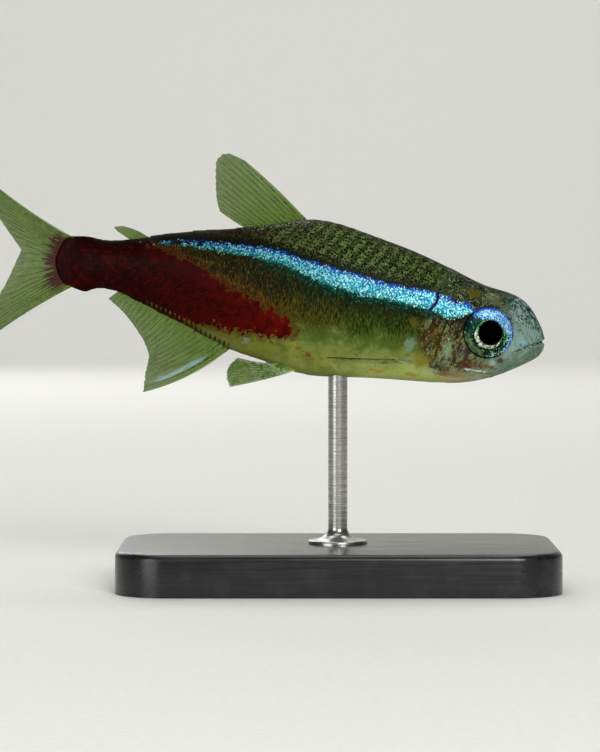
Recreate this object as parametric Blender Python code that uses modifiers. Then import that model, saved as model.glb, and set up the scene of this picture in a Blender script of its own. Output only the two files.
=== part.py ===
# A neon tetra (Paracheirodon innesi) at life size, 35 mm long, on a plain display stand.
#
# Every part of the fish is modelled in the fish's own frame, in millimetres: a station runs from
# the snout tip (0) back along the body, a height runs up from the body's axis, and a side runs to
# the fish's left. The finished meshes are then bent to the left towards the tail, and the empty
# that they hang from tips the fish nose down and lifts it onto the rod of the stand.
# The object's frame has its origin under the middle of the base, +X towards the head and +Z up.

import math

import bmesh
import bpy
import numpy as np
from mathutils import Matrix, Vector

MM = 0.001
GAP = 0.25

# Driving sizes of the fish
STANDARD_LENGTH = 28.0
BODY_PITCH = math.radians(9.3)
BEND_STARTS = 12.6
BEND_PER_MM2 = 0.0075

# Outline of the body: (station, value), both as shares of the standard length
BACK_LINE = [(0.0, 0.010), (0.015, 0.040), (0.04, 0.069), (0.085, 0.0885), (0.13, 0.0945), (0.20, 0.1155),
             (0.30, 0.144), (0.40, 0.163), (0.505, 0.1705), (0.60, 0.143), (0.70, 0.118), (0.80, 0.092),
             (0.87, 0.0695), (0.925, 0.0610), (0.97, 0.0635), (1.0, 0.0590)]
BELLY_LINE = [(0.0, -0.022), (0.015, -0.040), (0.05, -0.064), (0.10, -0.0915), (0.155, -0.1095),
              (0.25, -0.122), (0.37, -0.1345), (0.48, -0.1425), (0.56, -0.1300), (0.62, -0.1195),
              (0.69, -0.0970), (0.76, -0.0740), (0.83, -0.0515), (0.88, -0.0390), (0.92, -0.0400),
              (0.96, -0.0510), (1.0, -0.0460)]
HALF_WIDTH = [(0.0, 0.012), (0.012, 0.028), (0.035, 0.043), (0.07, 0.056), (0.12, 0.068), (0.20, 0.0755),
              (0.30, 0.0775), (0.42, 0.0765), (0.52, 0.0690), (0.62, 0.0545), (0.72, 0.0400),
              (0.82, 0.0285), (0.90, 0.0210), (1.0, 0.0160)]
# Level of the widest point, as a share of the section's height above the belly
WIDEST_AT = [(0.0, 0.45), (0.12, 0.50), (0.30, 0.50), (0.60, 0.55), (1.0, 0.50)]
# Roundness of the section over and under that level: 2 is an ellipse, less is a wedge
ROUND_OVER = [(0.0, 2.2), (0.12, 2.5), (0.25, 2.2), (0.60, 2.0), (1.0, 2.2)]
ROUND_UNDER = [(0.0, 2.2), (0.15, 2.1), (0.45, 2.0), (0.62, 1.7), (0.80, 1.7), (1.0, 2.2)]
# Rings from the snout to the tail, set closer towards the snout by this power, and points in each
BODY_RINGS, RING_CROWDING = 54, 1.4
RING_POINTS = 40

# Cuts that divide the body, as (station, height) lines in millimetres. The last is the rounded end
# of the flesh, which the rays of the tail fin fan out from.
GILL_CUT = [(5.5, 4.8), (5.95, 3.1), (6.42, 1.85), (6.72, 0.85), (6.92, -0.1), (6.85, -1.1),
            (6.45, -2.0), (5.85, -2.75), (5.3, -3.3), (4.9, -4.2)]
TAIL_CUT = [(24.5, 4.0), (24.5, 0.0), (24.5, -4.0)]
JAW_CUT = [(-0.9, 0.50), (0.05, -0.01), (0.9, -0.43), (1.75, -1.00), (2.35, -1.85), (2.65, -2.60),
           (2.8, -3.8)]
FLESH_END = [(26.9, 3.4), (27.25, 2.1), (27.75, 1.2), (28.0, 0.15), (27.65, -0.8), (27.0, -1.6),
             (26.6, -2.9)]

# Gill cover: its outline runs on past the gill cut, which ends it
COVER_FRONT = [(6.9, 2.1), (5.9, 1.80), (5.33, 1.2), (5.30, 0.2), (5.12, -0.8), (4.70, -1.6), (4.15, -2.2),
               (4.35, -2.65), (5.2, -2.85), (6.2, -2.9)]
COVER_BEYOND = [(9.0, -2.9), (9.0, 2.1)]
COVER_THICKNESS = 0.6
ISTHMUS_HALF = 0.35

# Eye: the lens stands a little out of the pupil, and the eyeball narrows to its flat back
EYE_STATION, EYE_HEIGHT = 3.25, 0.05
EYE_RADIUS, PUPIL_RADIUS = 1.43, 0.68
EYE_DOME, EYE_DEPTH, EYE_SUNK = 0.36, 1.1, 0.14
EYE_FORWARD, EYE_UP = math.radians(8), math.radians(3)
LENS_STANDS, LENS_EDGE = 0.12, 0.6
EYE_WALL, SOCKET_WALL, EYE_BACK = 0.6, 0.7, 0.75
EYE_STEPS = 32

# Mouth and nostrils: each lip runs from the corner of the mouth forward, turns round the blunt
# snout, and crosses its middle a little behind the tip, the upper one further back than the lower
LIP_RADIUS, LIP_SUNK = 0.24, 0.05
MOUTH_CORNER, LIP_FRONT = 1.75, 0.35
UPPER_LIP_MIDDLE, LOWER_LIP_MIDDLE = -0.25, -0.12
LIP_TURN_X, LIP_TURN_SIDE = -0.23, 0.46
LIP_THINNEST = 0.45
NOSTRIL_RADIUS, NOSTRIL_DEPTH = 0.17, 0.45
NOSTRILS = [(1.30, 1.12), (1.68, 1.28)]

# Fins: half thickness at the root, over the blade and at the tip, and how far a ray stands up
ROOT_HALF, BLADE_HALF, TIP_HALF, RAY_RIDGE = 0.27, 0.25, 0.12, 0.10
TAIL_ROOT_HALF = 0.42
ROOT_ENDS, TIP_STARTS = 0.30, 0.75
TAIL_ROOT_TOP, FORK_HEIGHT, TAIL_ROOT_FOOT = 1.72, 0.15, -1.42
# Paired fins: the root as (station, angle from the top), the edge as (station, height, side)
PECTORAL_ROOT = [(8.04, 2.23), (7.7, 2.31), (7.35, 2.386)]
PECTORAL_EDGE = [(11.9, -2.58, 3.7), (12.3, -2.70, 3.2), (12.2, -2.80, 2.75), (11.6, -2.88, 2.35),
                 (10.8, -2.90, 2.1)]
PELVIC_ROOT = [(13.6, 2.93), (14.0, 2.86), (14.45, 2.78)]
PELVIC_EDGE = [(17.25, -5.40, 1.15), (17.5, -4.90, 1.4), (17.5, -4.30, 1.6), (17.1, -3.75, 1.75)]
# How their rays leave the skin before they sweep back: (station, height, outwards)
PECTORAL_LEAD, PELVIC_LEAD = (0.6, -0.1, 0.75), (0.6, -0.5, 0.2)

# Stand
BASE_LENGTH, BASE_WIDTH, BASE_HEIGHT = 25.0, 15.0, 2.4
BASE_CORNER, BASE_BEVEL = 3.0, 0.35
CORNER_STEPS = 6
ROD_RADIUS, ROD_RISE, ROD_INTO_BELLY = 0.55, 9.5, 1.2
FOOT_RADIUS, FOOT_HEIGHT, FOOT_SUNK = 1.7, 0.9, 0.7
FOOT_EDGE, FOOT_FLARE, ROD_CHAMFER = 0.2, 0.15, 0.2
PIN_STATION = 11.2

# Half the width of a cutter that runs right through the fish
FAR = 30.0


def smooth_line(points):
    """A natural cubic spline through the points, against the square root of the station, which
    suits a blunt snout."""
    x = np.sqrt([p[0] for p in points])
    y = np.array([p[1] for p in points])
    step = np.diff(x)
    system, right = np.eye(len(x)), np.zeros(len(x))
    for i in range(1, len(x) - 1):
        system[i, i - 1:i + 2] = step[i - 1], 2 * (step[i - 1] + step[i]), step[i]
        right[i] = 6 * ((y[i + 1] - y[i]) / step[i] - (y[i] - y[i - 1]) / step[i - 1])
    curve = np.linalg.solve(system, right)

    def value(station):
        at = math.sqrt(max(station, 0.0))
        i = int(np.clip(np.searchsorted(x, at) - 1, 0, len(step) - 1))
        a, b = x[i + 1] - at, at - x[i]
        return ((curve[i] * a ** 3 + curve[i + 1] * b ** 3) / (6 * step[i])
                + (y[i] / step[i] - curve[i] * step[i] / 6) * a
                + (y[i + 1] / step[i] - curve[i + 1] * step[i] / 6) * b)

    return value


back, belly, half_width = smooth_line(BACK_LINE), smooth_line(BELLY_LINE), smooth_line(HALF_WIDTH)
widest_at, round_over = smooth_line(WIDEST_AT), smooth_line(ROUND_OVER)
round_under = smooth_line(ROUND_UNDER)


def section(station):
    """Top, widest level, bottom and half width at a station, and the two roundnesses."""
    share = station / STANDARD_LENGTH
    top, bottom = back(share) * STANDARD_LENGTH, belly(share) * STANDARD_LENGTH
    level = bottom + widest_at(share) * (top - bottom)
    return top, level, bottom, half_width(share) * STANDARD_LENGTH, round_over(share), round_under(share)


def body_point(station, angle, inset=0.0):
    """The point of the body's surface at an angle from the top, to the left for angles under pi."""
    top, level, bottom, half, over, under = section(station)
    s, c = math.sin(angle), math.cos(angle)
    power = 2 / (over if c > 0 else under)
    reach = (top if c > 0 else bottom) - level
    reach -= math.copysign(inset, reach)
    side = math.copysign(abs(s) ** power, s) * (half - inset)
    return Vector((-station, side, level + abs(c) ** power * reach))


def body_side(station, height):
    """Half the body's width at a station and a height."""
    top, level, bottom, half, over, under = section(station)
    over_level = height > level
    reach = (top if over_level else bottom) - level
    share = min(abs((height - level) / reach), 1.0)
    power = over if over_level else under
    return half * (1 - share ** power) ** (1 / power)


def through(points, per_span=4):
    """A smooth line (Catmull-Rom) through a few points, as a denser list of points."""
    p = [np.array(q, float) for q in points]
    p = [2 * p[0] - p[1], *p, 2 * p[-1] - p[-2]]
    line = []
    for a, b, c, d in zip(p, p[1:], p[2:], p[3:]):
        for k in range(per_span):
            t = k / per_span
            line.append(0.5 * (2 * b + (c - a) * t + (2 * a - 5 * b + 4 * c - d) * t ** 2
                               + (3 * b - a - 3 * c + d) * t ** 3))
    return [*line, p[-2]]


def along(points):
    """A function from 0..1 to the smooth line through the points."""
    line = np.array(through(points, 8))
    places = np.linspace(0, 1, len(line))
    return lambda u: np.array([np.interp(u, places, line[:, k]) for k in range(line.shape[1])])


def offset(line, distance):
    """The line moved sideways by a distance, to its left as it is walked in (station, height)."""
    line = np.array(line, float)
    run = np.gradient(line, axis=0)
    run /= np.linalg.norm(run, axis=1)[:, None]
    return line + distance * np.stack([-run[:, 1], run[:, 0]], axis=1)


def new_object(name, mesh, collection):
    found = bpy.data.objects.new(name, mesh)
    collection.objects.link(found)
    return found


def from_bmesh(name, shape, collection):
    bmesh.ops.recalc_face_normals(shape, faces=shape.faces)
    mesh = bpy.data.meshes.new(name)
    shape.to_mesh(mesh)
    shape.free()
    return new_object(name, mesh, collection)


def loft(name, rings, collection):
    """A closed skin over a row of rings of equally many points."""
    shape = bmesh.new()
    rows = [[shape.verts.new(p) for p in ring] for ring in rings]
    for a, b in zip(rows, rows[1:]):
        for k in range(len(a)):
            n = (k + 1) % len(a)
            shape.faces.new((a[k], a[n], b[n], b[k]))
    shape.faces.new(rows[0])
    shape.faces.new(rows[-1])
    return from_bmesh(name, shape, collection)


def prism(name, outline, collection, reach=FAR):
    """An outline in (station, height), extruded right through the fish."""
    shape = bmesh.new()
    face = shape.faces.new([shape.verts.new((-s, -reach, h)) for s, h in outline])
    moved = bmesh.ops.extrude_face_region(shape, geom=[face])["geom"]
    verts = [v for v in moved if isinstance(v, bmesh.types.BMVert)]
    bmesh.ops.translate(shape, verts=verts, vec=(0, 2 * reach, 0))
    return from_bmesh(name, shape, collection)


def turned(name, profile, steps, collection):
    """A profile of (radius, height) from top to bottom, turned about Z."""
    mesh = bpy.data.meshes.new(name)
    verts = [(r, 0, z) for r, z in profile]
    mesh.from_pydata(verts, [(i, i + 1) for i in range(len(verts) - 1)], [])
    found = new_object(name, mesh, collection)
    screw = found.modifiers.new("turn", "SCREW")
    screw.steps = screw.render_steps = steps
    screw.use_merge_vertices = True
    screw.merge_threshold = 0.0001
    return applied(found)


def applied(found):
    """The object with its modifiers and its own placing baked into its mesh."""
    bpy.context.view_layer.update()
    seen = found.evaluated_get(bpy.context.evaluated_depsgraph_get())
    mesh = bpy.data.meshes.new_from_object(seen)
    mesh.transform(found.matrix_world)
    if found.type == "MESH":
        found.modifiers.clear()
        found.data = mesh
        found.matrix_world = Matrix.Identity(4)
        return found
    name, collection = found.name, found.users_collection[0]
    bpy.data.objects.remove(found)
    return new_object(name, mesh, collection)


def boolean(target, other, operation):
    modifier = target.modifiers.new(operation.lower(), "BOOLEAN")
    modifier.operation = operation
    modifier.object = other
    modifier.solver = "EXACT"
    applied(target)
    bpy.data.objects.remove(other)
    return target


def copy_of(found, name):
    return new_object(name, found.data.copy(), found.users_collection[0])


def one_side(found, name, left):
    """The half of an object that lies to the fish's left or right."""
    half = copy_of(found, name)
    shape = bmesh.new()
    shape.from_mesh(half.data)
    gone = [v for v in shape.verts if (v.co.y > 0) != left]
    bmesh.ops.delete(shape, geom=gone, context="VERTS")
    shape.to_mesh(half.data)
    shape.free()
    return half


def body(collection):
    """The whole body with its lips, from the snout to the root of the tail fin."""
    stations = [STANDARD_LENGTH * (i / BODY_RINGS) ** RING_CROWDING for i in range(BODY_RINGS + 1)]
    turns = [2 * math.pi * k / RING_POINTS for k in range(RING_POINTS)]
    whole = loft("body", [[body_point(s, a) for a in turns] for s in stations], collection)
    for lip in lips(collection):
        boolean(whole, lip, "UNION")
    return whole


def mouth_height(station):
    line = np.array(JAW_CUT)
    return float(np.interp(station, line[:, 0], line[:, 1]))


def lips(collection):
    """The upper and the lower lip: tubes along the gape, which taper to its corners."""
    both = []
    for side_of_gape, middle_x in ((1, UPPER_LIP_MIDDLE), (-1, LOWER_LIP_MIDDLE)):
        half = []
        off_gape = side_of_gape * (LIP_RADIUS * 0.75 + GAP / 2)
        for station in np.linspace(MOUTH_CORNER, LIP_FRONT, 9):
            height = mouth_height(station) + off_gape
            half.append((-station, body_side(station, height) - LIP_SUNK, height))
        half.append((LIP_TURN_X, LIP_TURN_SIDE, mouth_height(-LIP_TURN_X) + off_gape))
        middle = (middle_x, 0.0, mouth_height(0.0) + off_gape)
        path = [*half, middle, *[(x, -y, z) for x, y, z in reversed(half)]]
        data = bpy.data.curves.new("lip", "CURVE")
        data.dimensions = "3D"
        data.bevel_depth = LIP_RADIUS
        data.bevel_resolution = 3
        data.use_fill_caps = True
        spline = data.splines.new("POLY")
        spline.points.add(len(path) - 1)
        for i, (point, place) in enumerate(zip(spline.points, path)):
            point.co = (*place, 1)
            swell = math.sin(math.pi * i / (len(path) - 1)) ** 0.6
            point.radius = LIP_THINNEST + (1 - LIP_THINNEST) * swell
        found = applied(new_object("lip", data, collection))
        shape = bmesh.new()
        shape.from_mesh(found.data)
        bmesh.ops.remove_doubles(shape, verts=shape.verts, dist=0.001)
        bmesh.ops.recalc_face_normals(shape, faces=shape.faces)
        shape.to_mesh(found.data)
        shape.free()
        both.append(found)
    return both


def region(name, front, rear, collection):
    """The space between two cuts, each a line from above the body to below it."""
    outline = [tuple(p) for p in front] + [tuple(p) for p in reversed(rear)]
    return prism(name, outline, collection)


def sockets(collection):
    """The two orbits, a gap wider than the eyes."""
    reach = EYE_RADIUS + GAP
    floor = -EYE_DEPTH - GAP
    profile = [(0, 4), (reach, 4), (reach, -EYE_DEPTH * SOCKET_WALL), (reach * EYE_BACK, floor), (0, floor)]
    for side in (1, -1):
        made = turned("socket", profile, EYE_STEPS, collection)
        made.matrix_world = eye_place(side)
        yield applied(made)


def eye_place(side):
    """Where an eye sits: its axis looks out of the head, a little forward and up."""
    reach = body_side(EYE_STATION, EYE_HEIGHT) - EYE_SUNK
    centre = Vector((-EYE_STATION, side * reach, EYE_HEIGHT))
    axis = Vector((math.sin(EYE_FORWARD), side * math.cos(EYE_FORWARD), math.sin(EYE_UP)))
    return Matrix.Translation(centre) @ axis.to_track_quat("Z", "Y").to_matrix().to_4x4()


def eye(side, name, collection):
    """A domed eyeball with the lens standing in the pupil."""
    dome = [(EYE_RADIUS * math.sin(a), EYE_DOME * math.cos(a)) for a in np.linspace(0.62, math.pi / 2, 6)]
    lens = [(0, EYE_DOME + LENS_STANDS), (PUPIL_RADIUS * LENS_EDGE, EYE_DOME + 0.75 * LENS_STANDS),
            (PUPIL_RADIUS, EYE_DOME)]
    back_of_eye = [(EYE_RADIUS, -EYE_DEPTH * EYE_WALL), (EYE_RADIUS * EYE_BACK, -EYE_DEPTH), (0, -EYE_DEPTH)]
    found = turned(name, [*lens, *dome, *back_of_eye], EYE_STEPS, collection)
    found.matrix_world = eye_place(side)
    return applied(found)


def nostrils(collection):
    """Short pins that sink the two openings on each side of the snout."""
    for side in (1, -1):
        for station, height in NOSTRILS:
            shape = bmesh.new()
            bmesh.ops.create_cone(shape, cap_ends=True, segments=10, radius1=NOSTRIL_RADIUS,
                                  radius2=NOSTRIL_RADIUS, depth=2 * NOSTRIL_DEPTH)
            made = from_bmesh("nostril", shape, collection)
            place = Vector((-station, side * body_side(station, height), height))
            out = Vector((0.35, side, 0.45))
            made.matrix_world = Matrix.Translation(place) @ out.to_track_quat("Z", "Y").to_matrix().to_4x4()
            yield applied(made)


def plates(grown, thickness, middle, collection):
    """The space of both gill covers: inside their outline, outside an inset body and clear of the
    narrow isthmus between them."""
    space = prism("plates", grown, collection)
    isthmus = prism("isthmus", [(-9, -9), (39, -9), (39, 9), (-9, 9)], collection, middle)
    boolean(space, isthmus, "DIFFERENCE")
    stations = np.linspace(1.5, 9.0, 20)
    turns = [2 * math.pi * k / RING_POINTS for k in range(RING_POINTS)]
    core = loft("core", [[body_point(s, a, thickness) for a in turns] for s in stations], collection)
    return boolean(space, core, "DIFFERENCE")


def grow(outline, distance):
    """A closed outline moved outwards all round. Its points run with the inside on their left."""
    ring = np.array([outline[-1], *outline, outline[0]], float)
    run = ring[2:] - ring[:-2]
    run /= np.linalg.norm(run, axis=1)[:, None]
    return ring[1:-1] + distance * np.stack([run[:, 1], -run[:, 0]], axis=1)


def body_parts(parts, helpers):
    """Head, lower jaw, gill covers, trunk and tail stalk, cut from one body."""
    whole = body(helpers)
    gill, tail, jaw, end = (through(line) for line in (GILL_CUT, TAIL_CUT, JAW_CUT, FLESH_END))
    ahead = [(-3, 9), (-3, -9)]

    trunk = copy_of(whole, "trunk")
    space = region("trunk_space", offset(gill, GAP / 2), offset(tail, -GAP / 2), helpers)
    boolean(trunk, space, "INTERSECT")
    stalk = copy_of(whole, "tail_stalk")
    boolean(stalk, region("stalk_space", offset(tail, GAP / 2), end, helpers), "INTERSECT")
    head = copy_of(whole, "head")
    boolean(head, region("head_space", ahead, offset(gill, -GAP / 2), helpers), "INTERSECT")

    lower = copy_of(head, "lower_jaw")
    jaw_space = [*[tuple(p) for p in offset(jaw, -GAP / 2)], (-3.0, -6.0)]
    boolean(lower, prism("jaw_space", jaw_space, helpers), "INTERSECT")
    jaw_room = [*[tuple(p) for p in offset(jaw, GAP / 2)], (-3.0, -6.0)]
    boolean(head, prism("jaw_room", jaw_room, helpers), "DIFFERENCE")

    covers = copy_of(head, "covers")
    outline = [*through(COVER_FRONT, 3), *COVER_BEYOND]
    boolean(covers, plates(outline, COVER_THICKNESS, ISTHMUS_HALF + GAP, helpers), "INTERSECT")
    boolean(head, plates(grow(outline, GAP), COVER_THICKNESS + GAP, ISTHMUS_HALF, helpers), "DIFFERENCE")
    for cutter in (*sockets(helpers), *nostrils(helpers)):
        boolean(head, cutter, "DIFFERENCE")

    found = {"trunk": trunk, "tail_stalk": stalk, "head": head, "lower_jaw": lower,
             "gill_cover_left": one_side(covers, "gill_cover_left", True),
             "gill_cover_right": one_side(covers, "gill_cover_right", False)}
    for made in found.values():
        parts.objects.link(made)
        helpers.objects.unlink(made)
    bpy.data.objects.remove(covers)
    bpy.data.objects.remove(whole)
    return found


def two_faces(name, front, back_face, collection):
    """A thin closed blade from two grids of points, split into triangles alike on both faces."""
    shape = bmesh.new()
    a = [[shape.verts.new(p) for p in row] for row in front]
    b = [[shape.verts.new(p) for p in row] for row in back_face]
    rows, columns = len(a), len(a[0])
    for j in range(rows - 1):
        for i in range(columns - 1):
            for grid, turn in ((a, 1), (b, -1)):
                corners = grid[j][i], grid[j][i + 1], grid[j + 1][i + 1], grid[j + 1][i]
                shape.faces.new(corners[:3][::turn])
                shape.faces.new((corners[0], corners[2], corners[3])[::turn])
    rim = [(0, i) for i in range(columns)] + [(j, columns - 1) for j in range(1, rows)]
    rim += [(rows - 1, i) for i in range(columns - 2, -1, -1)] + [(j, 0) for j in range(rows - 2, 0, -1)]
    for (j, i), (m, n) in zip(rim, rim[1:] + rim[:1]):
        shape.faces.new((a[j][i], b[j][i], b[m][n]))
        shape.faces.new((a[j][i], b[m][n], a[m][n]))
    return from_bmesh(name, shape, collection)


def half_thickness(v, on_ray, root_half, ridge):
    """Half the thickness of a blade at a share v of its length, and more on a ray."""
    blade = root_half + (BLADE_HALF - root_half) * min(v / ROOT_ENDS, 1.0)
    if v > TIP_STARTS:
        blade += (TIP_HALF - BLADE_HALF) * (v - TIP_STARTS) / (1 - TIP_STARTS)
    return blade + (ridge * (1 - 0.6 * v) if on_ray else 0.0)


def bowed(first, last):
    """The course of rays that bow to one side by a share of their length, from the first ray's
    share to the last's."""
    def course(foot, tip, u, v):
        run = tip - foot
        across = np.array([-run[1], run[0], 0.0]) * (first + (last - first) * u)
        return foot + run * v + across * 4 * v * (1 - v)
    return course


def swept(lead):
    """The course of rays that leave the skin square to it and then sweep back."""
    def course(foot, tip, u, v):
        return foot * (1 - v) ** 2 + (foot + lead) * 2 * v * (1 - v) + tip * v ** 2
    return course


def ray_fin(name, root, margin, rays, rows, collection, course, root_half=ROOT_HALF, ridge=RAY_RIDGE):
    """A fin whose rays are ridges in its own surface. root and margin are lines of (station,
    height, side), which the rays run between."""
    root, margin = along(root), along(margin)
    columns = 2 * rays - 1
    grid = np.zeros((rows + 1, columns, 3))
    half = np.zeros((rows + 1, columns, 1))
    for i in range(columns):
        u = i / (columns - 1)
        for j in range(rows + 1):
            v = j / rows
            station, height, side = course(root(u), margin(u), u, v)
            grid[j, i] = -station, side, height
            half[j, i] = half_thickness(v, i % 2 == 0, root_half, ridge)
    normal = np.cross(np.gradient(grid, axis=1), np.gradient(grid, axis=0))
    thick = normal / np.linalg.norm(normal, axis=2)[:, :, None] * half
    return two_faces(name, (grid + thick).tolist(), (grid - thick).tolist(), collection)


def over_body(stations, line, sign):
    """Points of a fin's root along the outline of the back or the belly, a gap off it."""
    return [(s, line(s / STANDARD_LENGTH) * STANDARD_LENGTH + sign * GAP, 0) for s in stations]


def tail_root(low, high):
    """Points of a tail lobe's root between two heights, a gap behind the end of the flesh."""
    line = offset(through(FLESH_END), GAP)[::-1]
    heights = np.linspace(high, low, 7)
    return [(np.interp(h, line[:, 1], line[:, 0]), h, 0) for h in heights]


def fins(parts):
    """The fins, the tail fin in its two lobes."""
    made = [
        ray_fin("dorsal_fin", over_body((14.3, 15.4, 16.6, 17.6), back, 1),
                [(18.5, 7.50, 0), (19.5, 7.74, 0), (20.05, 7.3, 0), (20.0, 6.5, 0), (19.85, 5.7, 0),
                 (19.68, 5.0, 0), (19.4, 4.4, 0)],
                11, 7, parts, bowed(0.02, -0.02)),
        ray_fin("anal_fin", over_body((17.5, 19.2, 21.0, 22.8, 24.3), belly, -1),
                [(22.1, -6.55, 0), (22.15, -5.45, 0), (22.1, -4.5, 0), (22.45, -3.75, 0), (23.1, -3.0, 0),
                 (23.9, -2.25, 0), (24.9, -1.6, 0)],
                19, 6, parts, bowed(-0.06, 0.02)),
        ray_fin("caudal_fin_upper", tail_root(FORK_HEIGHT + GAP / 2, TAIL_ROOT_TOP),
                [(34.5, 5.0, 0), (33.9, 4.1, 0), (32.9, 2.9, 0), (31.8, 1.75, 0),
                 (30.4, 0.36 + GAP / 2, 0)],
                10, 8, parts, bowed(-0.03, 0.0), TAIL_ROOT_HALF),
        ray_fin("caudal_fin_lower", tail_root(TAIL_ROOT_FOOT, FORK_HEIGHT - GAP / 2)[::-1],
                [(32.9, -6.6, 0), (32.5, -5.4, 0), (31.8, -3.7, 0), (31.0, -1.7, 0),
                 (30.4, 0.36 - GAP / 2, 0)],
                9, 8, parts, bowed(0.03, 0.0), TAIL_ROOT_HALF),
        ray_fin("adipose_fin", over_body((23.1, 23.6, 24.1), back, 1),
                [(24.8, 2.75, 0), (25.15, 2.65, 0), (25.0, 2.40, 0)],
                3, 4, parts, bowed(0.08, 0.0), ridge=0.0)]
    for side, name in ((1, "left"), (-1, "right")):
        for kind, root, edge, rays, rows, (aft, up, out) in (
                ("pectoral_fin_", PECTORAL_ROOT, PECTORAL_EDGE, 10, 7, PECTORAL_LEAD),
                ("pelvic_fin_", PELVIC_ROOT, PELVIC_EDGE, 8, 6, PELVIC_LEAD)):
            made.append(ray_fin(kind + name, skin_line(root, side), sided(edge, side), rays, rows, parts,
                                swept(np.array([aft, up, side * out]))))
    return {fin.name: fin for fin in made}


def skin_line(places, side):
    """Points a gap off the skin, from (station, angle from the top) places."""
    line = []
    for station, angle in places:
        here = body_point(station, angle)
        aft, on = body_point(station + 0.1, angle), body_point(station, angle + 0.02)
        normal = (aft - here).cross(on - here).normalized()
        place = here + normal * math.copysign(GAP, normal.y)
        line.append((-place.x, place.z, side * place.y))
    return line


def sided(line, side):
    return [(station, height, side * y) for station, height, y in line]


def pose(found):
    """Millimetres to metres, and the bend of the tail to the fish's left."""
    for vertex in found.data.vertices:
        beyond = max(0.0, -vertex.co.x - BEND_STARTS)
        vertex.co.y += BEND_PER_MM2 * beyond ** 2
        vertex.co *= MM
    found.data.update()


def stand(parts):
    """A flat base with rounded corners, and one rod on a turned foot that is let into it."""
    shape = bmesh.new()
    bmesh.ops.create_cube(shape, size=1)
    bmesh.ops.scale(shape, vec=(BASE_LENGTH, BASE_WIDTH, BASE_HEIGHT), verts=shape.verts)
    bmesh.ops.translate(shape, vec=(0, 0, BASE_HEIGHT / 2), verts=shape.verts)
    upright = [e for e in shape.edges if abs(e.verts[0].co.z - e.verts[1].co.z) > BASE_HEIGHT / 2]
    bmesh.ops.bevel(shape, geom=upright, offset=BASE_CORNER, segments=CORNER_STEPS, profile=0.5,
                    affect="EDGES")
    upper = [e for e in shape.edges if all(v.co.z > BASE_HEIGHT / 2 for v in e.verts)]
    bmesh.ops.bevel(shape, geom=upper, offset=BASE_BEVEL, segments=2, profile=0.5, affect="EDGES")
    base = from_bmesh("stand_base", shape, parts)
    floor = BASE_HEIGHT - FOOT_SUNK
    hole = turned("foot_hole", [(0, BASE_HEIGHT + 1), (FOOT_RADIUS + GAP, BASE_HEIGHT + 1),
                                (FOOT_RADIUS + GAP, floor - GAP), (0, floor - GAP)], 24, parts)
    boolean(base, hole, "DIFFERENCE")
    top = BASE_HEIGHT + ROD_RISE + ROD_INTO_BELLY
    foot = BASE_HEIGHT + FOOT_HEIGHT
    rod = turned("stand_rod", [(0, top), (ROD_RADIUS - ROD_CHAMFER, top), (ROD_RADIUS, top - ROD_CHAMFER),
                               (ROD_RADIUS, foot), (ROD_RADIUS + FOOT_FLARE, foot - FOOT_HEIGHT / 4),
                               (FOOT_RADIUS, BASE_HEIGHT + FOOT_EDGE), (FOOT_RADIUS, floor), (0, floor)],
                 24, parts)
    return {"stand_base": base, "stand_rod": rod}


def material(name, colour, roughness, metallic=0.0):
    found = bpy.data.materials.new(name)
    found.use_nodes = True
    shader = found.node_tree.nodes["Principled BSDF"]
    shader.inputs["Base Color"].default_value = (*colour, 1)
    shader.inputs["Roughness"].default_value = roughness
    shader.inputs["Metallic"].default_value = metallic
    return found


def main():
    for old in list(bpy.data.objects):
        bpy.data.objects.remove(old)
    parts, helpers = (bpy.data.collections.new(n) for n in ("neon_tetra", "helpers"))
    for collection in (parts, helpers):
        bpy.context.scene.collection.children.link(collection)

    skin = material("olive_skin", (0.20, 0.22, 0.10), 0.35)
    red = material("red_skin", (0.30, 0.01, 0.01), 0.40)
    clear = material("fin_membrane", (0.45, 0.50, 0.30), 0.40)
    iris = material("eye", (0.10, 0.45, 0.60), 0.15)
    base_finish = material("base_black", (0.02, 0.02, 0.02), 0.35)
    steel = material("rod_steel", (0.60, 0.60, 0.58), 0.30, 1.0)

    fish = {**body_parts(parts, helpers), **fins(parts),
            "eye_left": eye(1, "eye_left", parts), "eye_right": eye(-1, "eye_right", parts)}
    holder = bpy.data.objects.new("fish_pose", None)
    parts.objects.link(holder)
    tip = Matrix.Rotation(BODY_PITCH, 4, "Y")
    top, level, bottom, *_ = section(PIN_STATION)
    pin = tip @ Vector((-PIN_STATION, 0, bottom))
    lift = Vector((0, 0, BASE_HEIGHT + ROD_RISE)) - pin
    holder.matrix_world = Matrix.Translation(lift * MM) @ tip
    bpy.context.view_layer.update()
    for name, made in fish.items():
        pose(made)
        made.parent = holder
        kind = iris if name.startswith("eye") else clear if "fin" in name else skin
        made.data.materials.clear()
        made.data.materials.append(red if name == "tail_stalk" else kind)

    made = stand(parts)
    for name, finish in (("stand_base", base_finish), ("stand_rod", steel)):
        made[name].data.transform(Matrix.Scale(MM, 4))
        made[name].data.materials.clear()
        made[name].data.materials.append(finish)

    # The pocket in the belly that the rod's top stands in
    around = ROD_RADIUS + GAP
    pocket = turned("pin_pocket", [(0, 1), (around, 1), (around, -3), (0, -3)], 24, helpers)
    pocket.data.transform(Matrix.Scale(MM, 4))
    pocket.location = (0, 0, (BASE_HEIGHT + ROD_RISE + ROD_INTO_BELLY + GAP - 1) * MM)
    pocket.hide_render = True
    pocket.display_type = "WIRE"
    cut = fish["trunk"].modifiers.new("pin_pocket", "BOOLEAN")
    cut.operation = "DIFFERENCE"
    cut.object = pocket
    cut.solver = "EXACT"

    for made in parts.objects:
        if made.type == "MESH":
            made.data.shade_smooth()
            made.data.set_sharp_from_angle(angle=math.radians(35))


main()
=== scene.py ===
import math

import bmesh
import bpy
import numpy as np
from mathutils import Matrix, Vector


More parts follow.
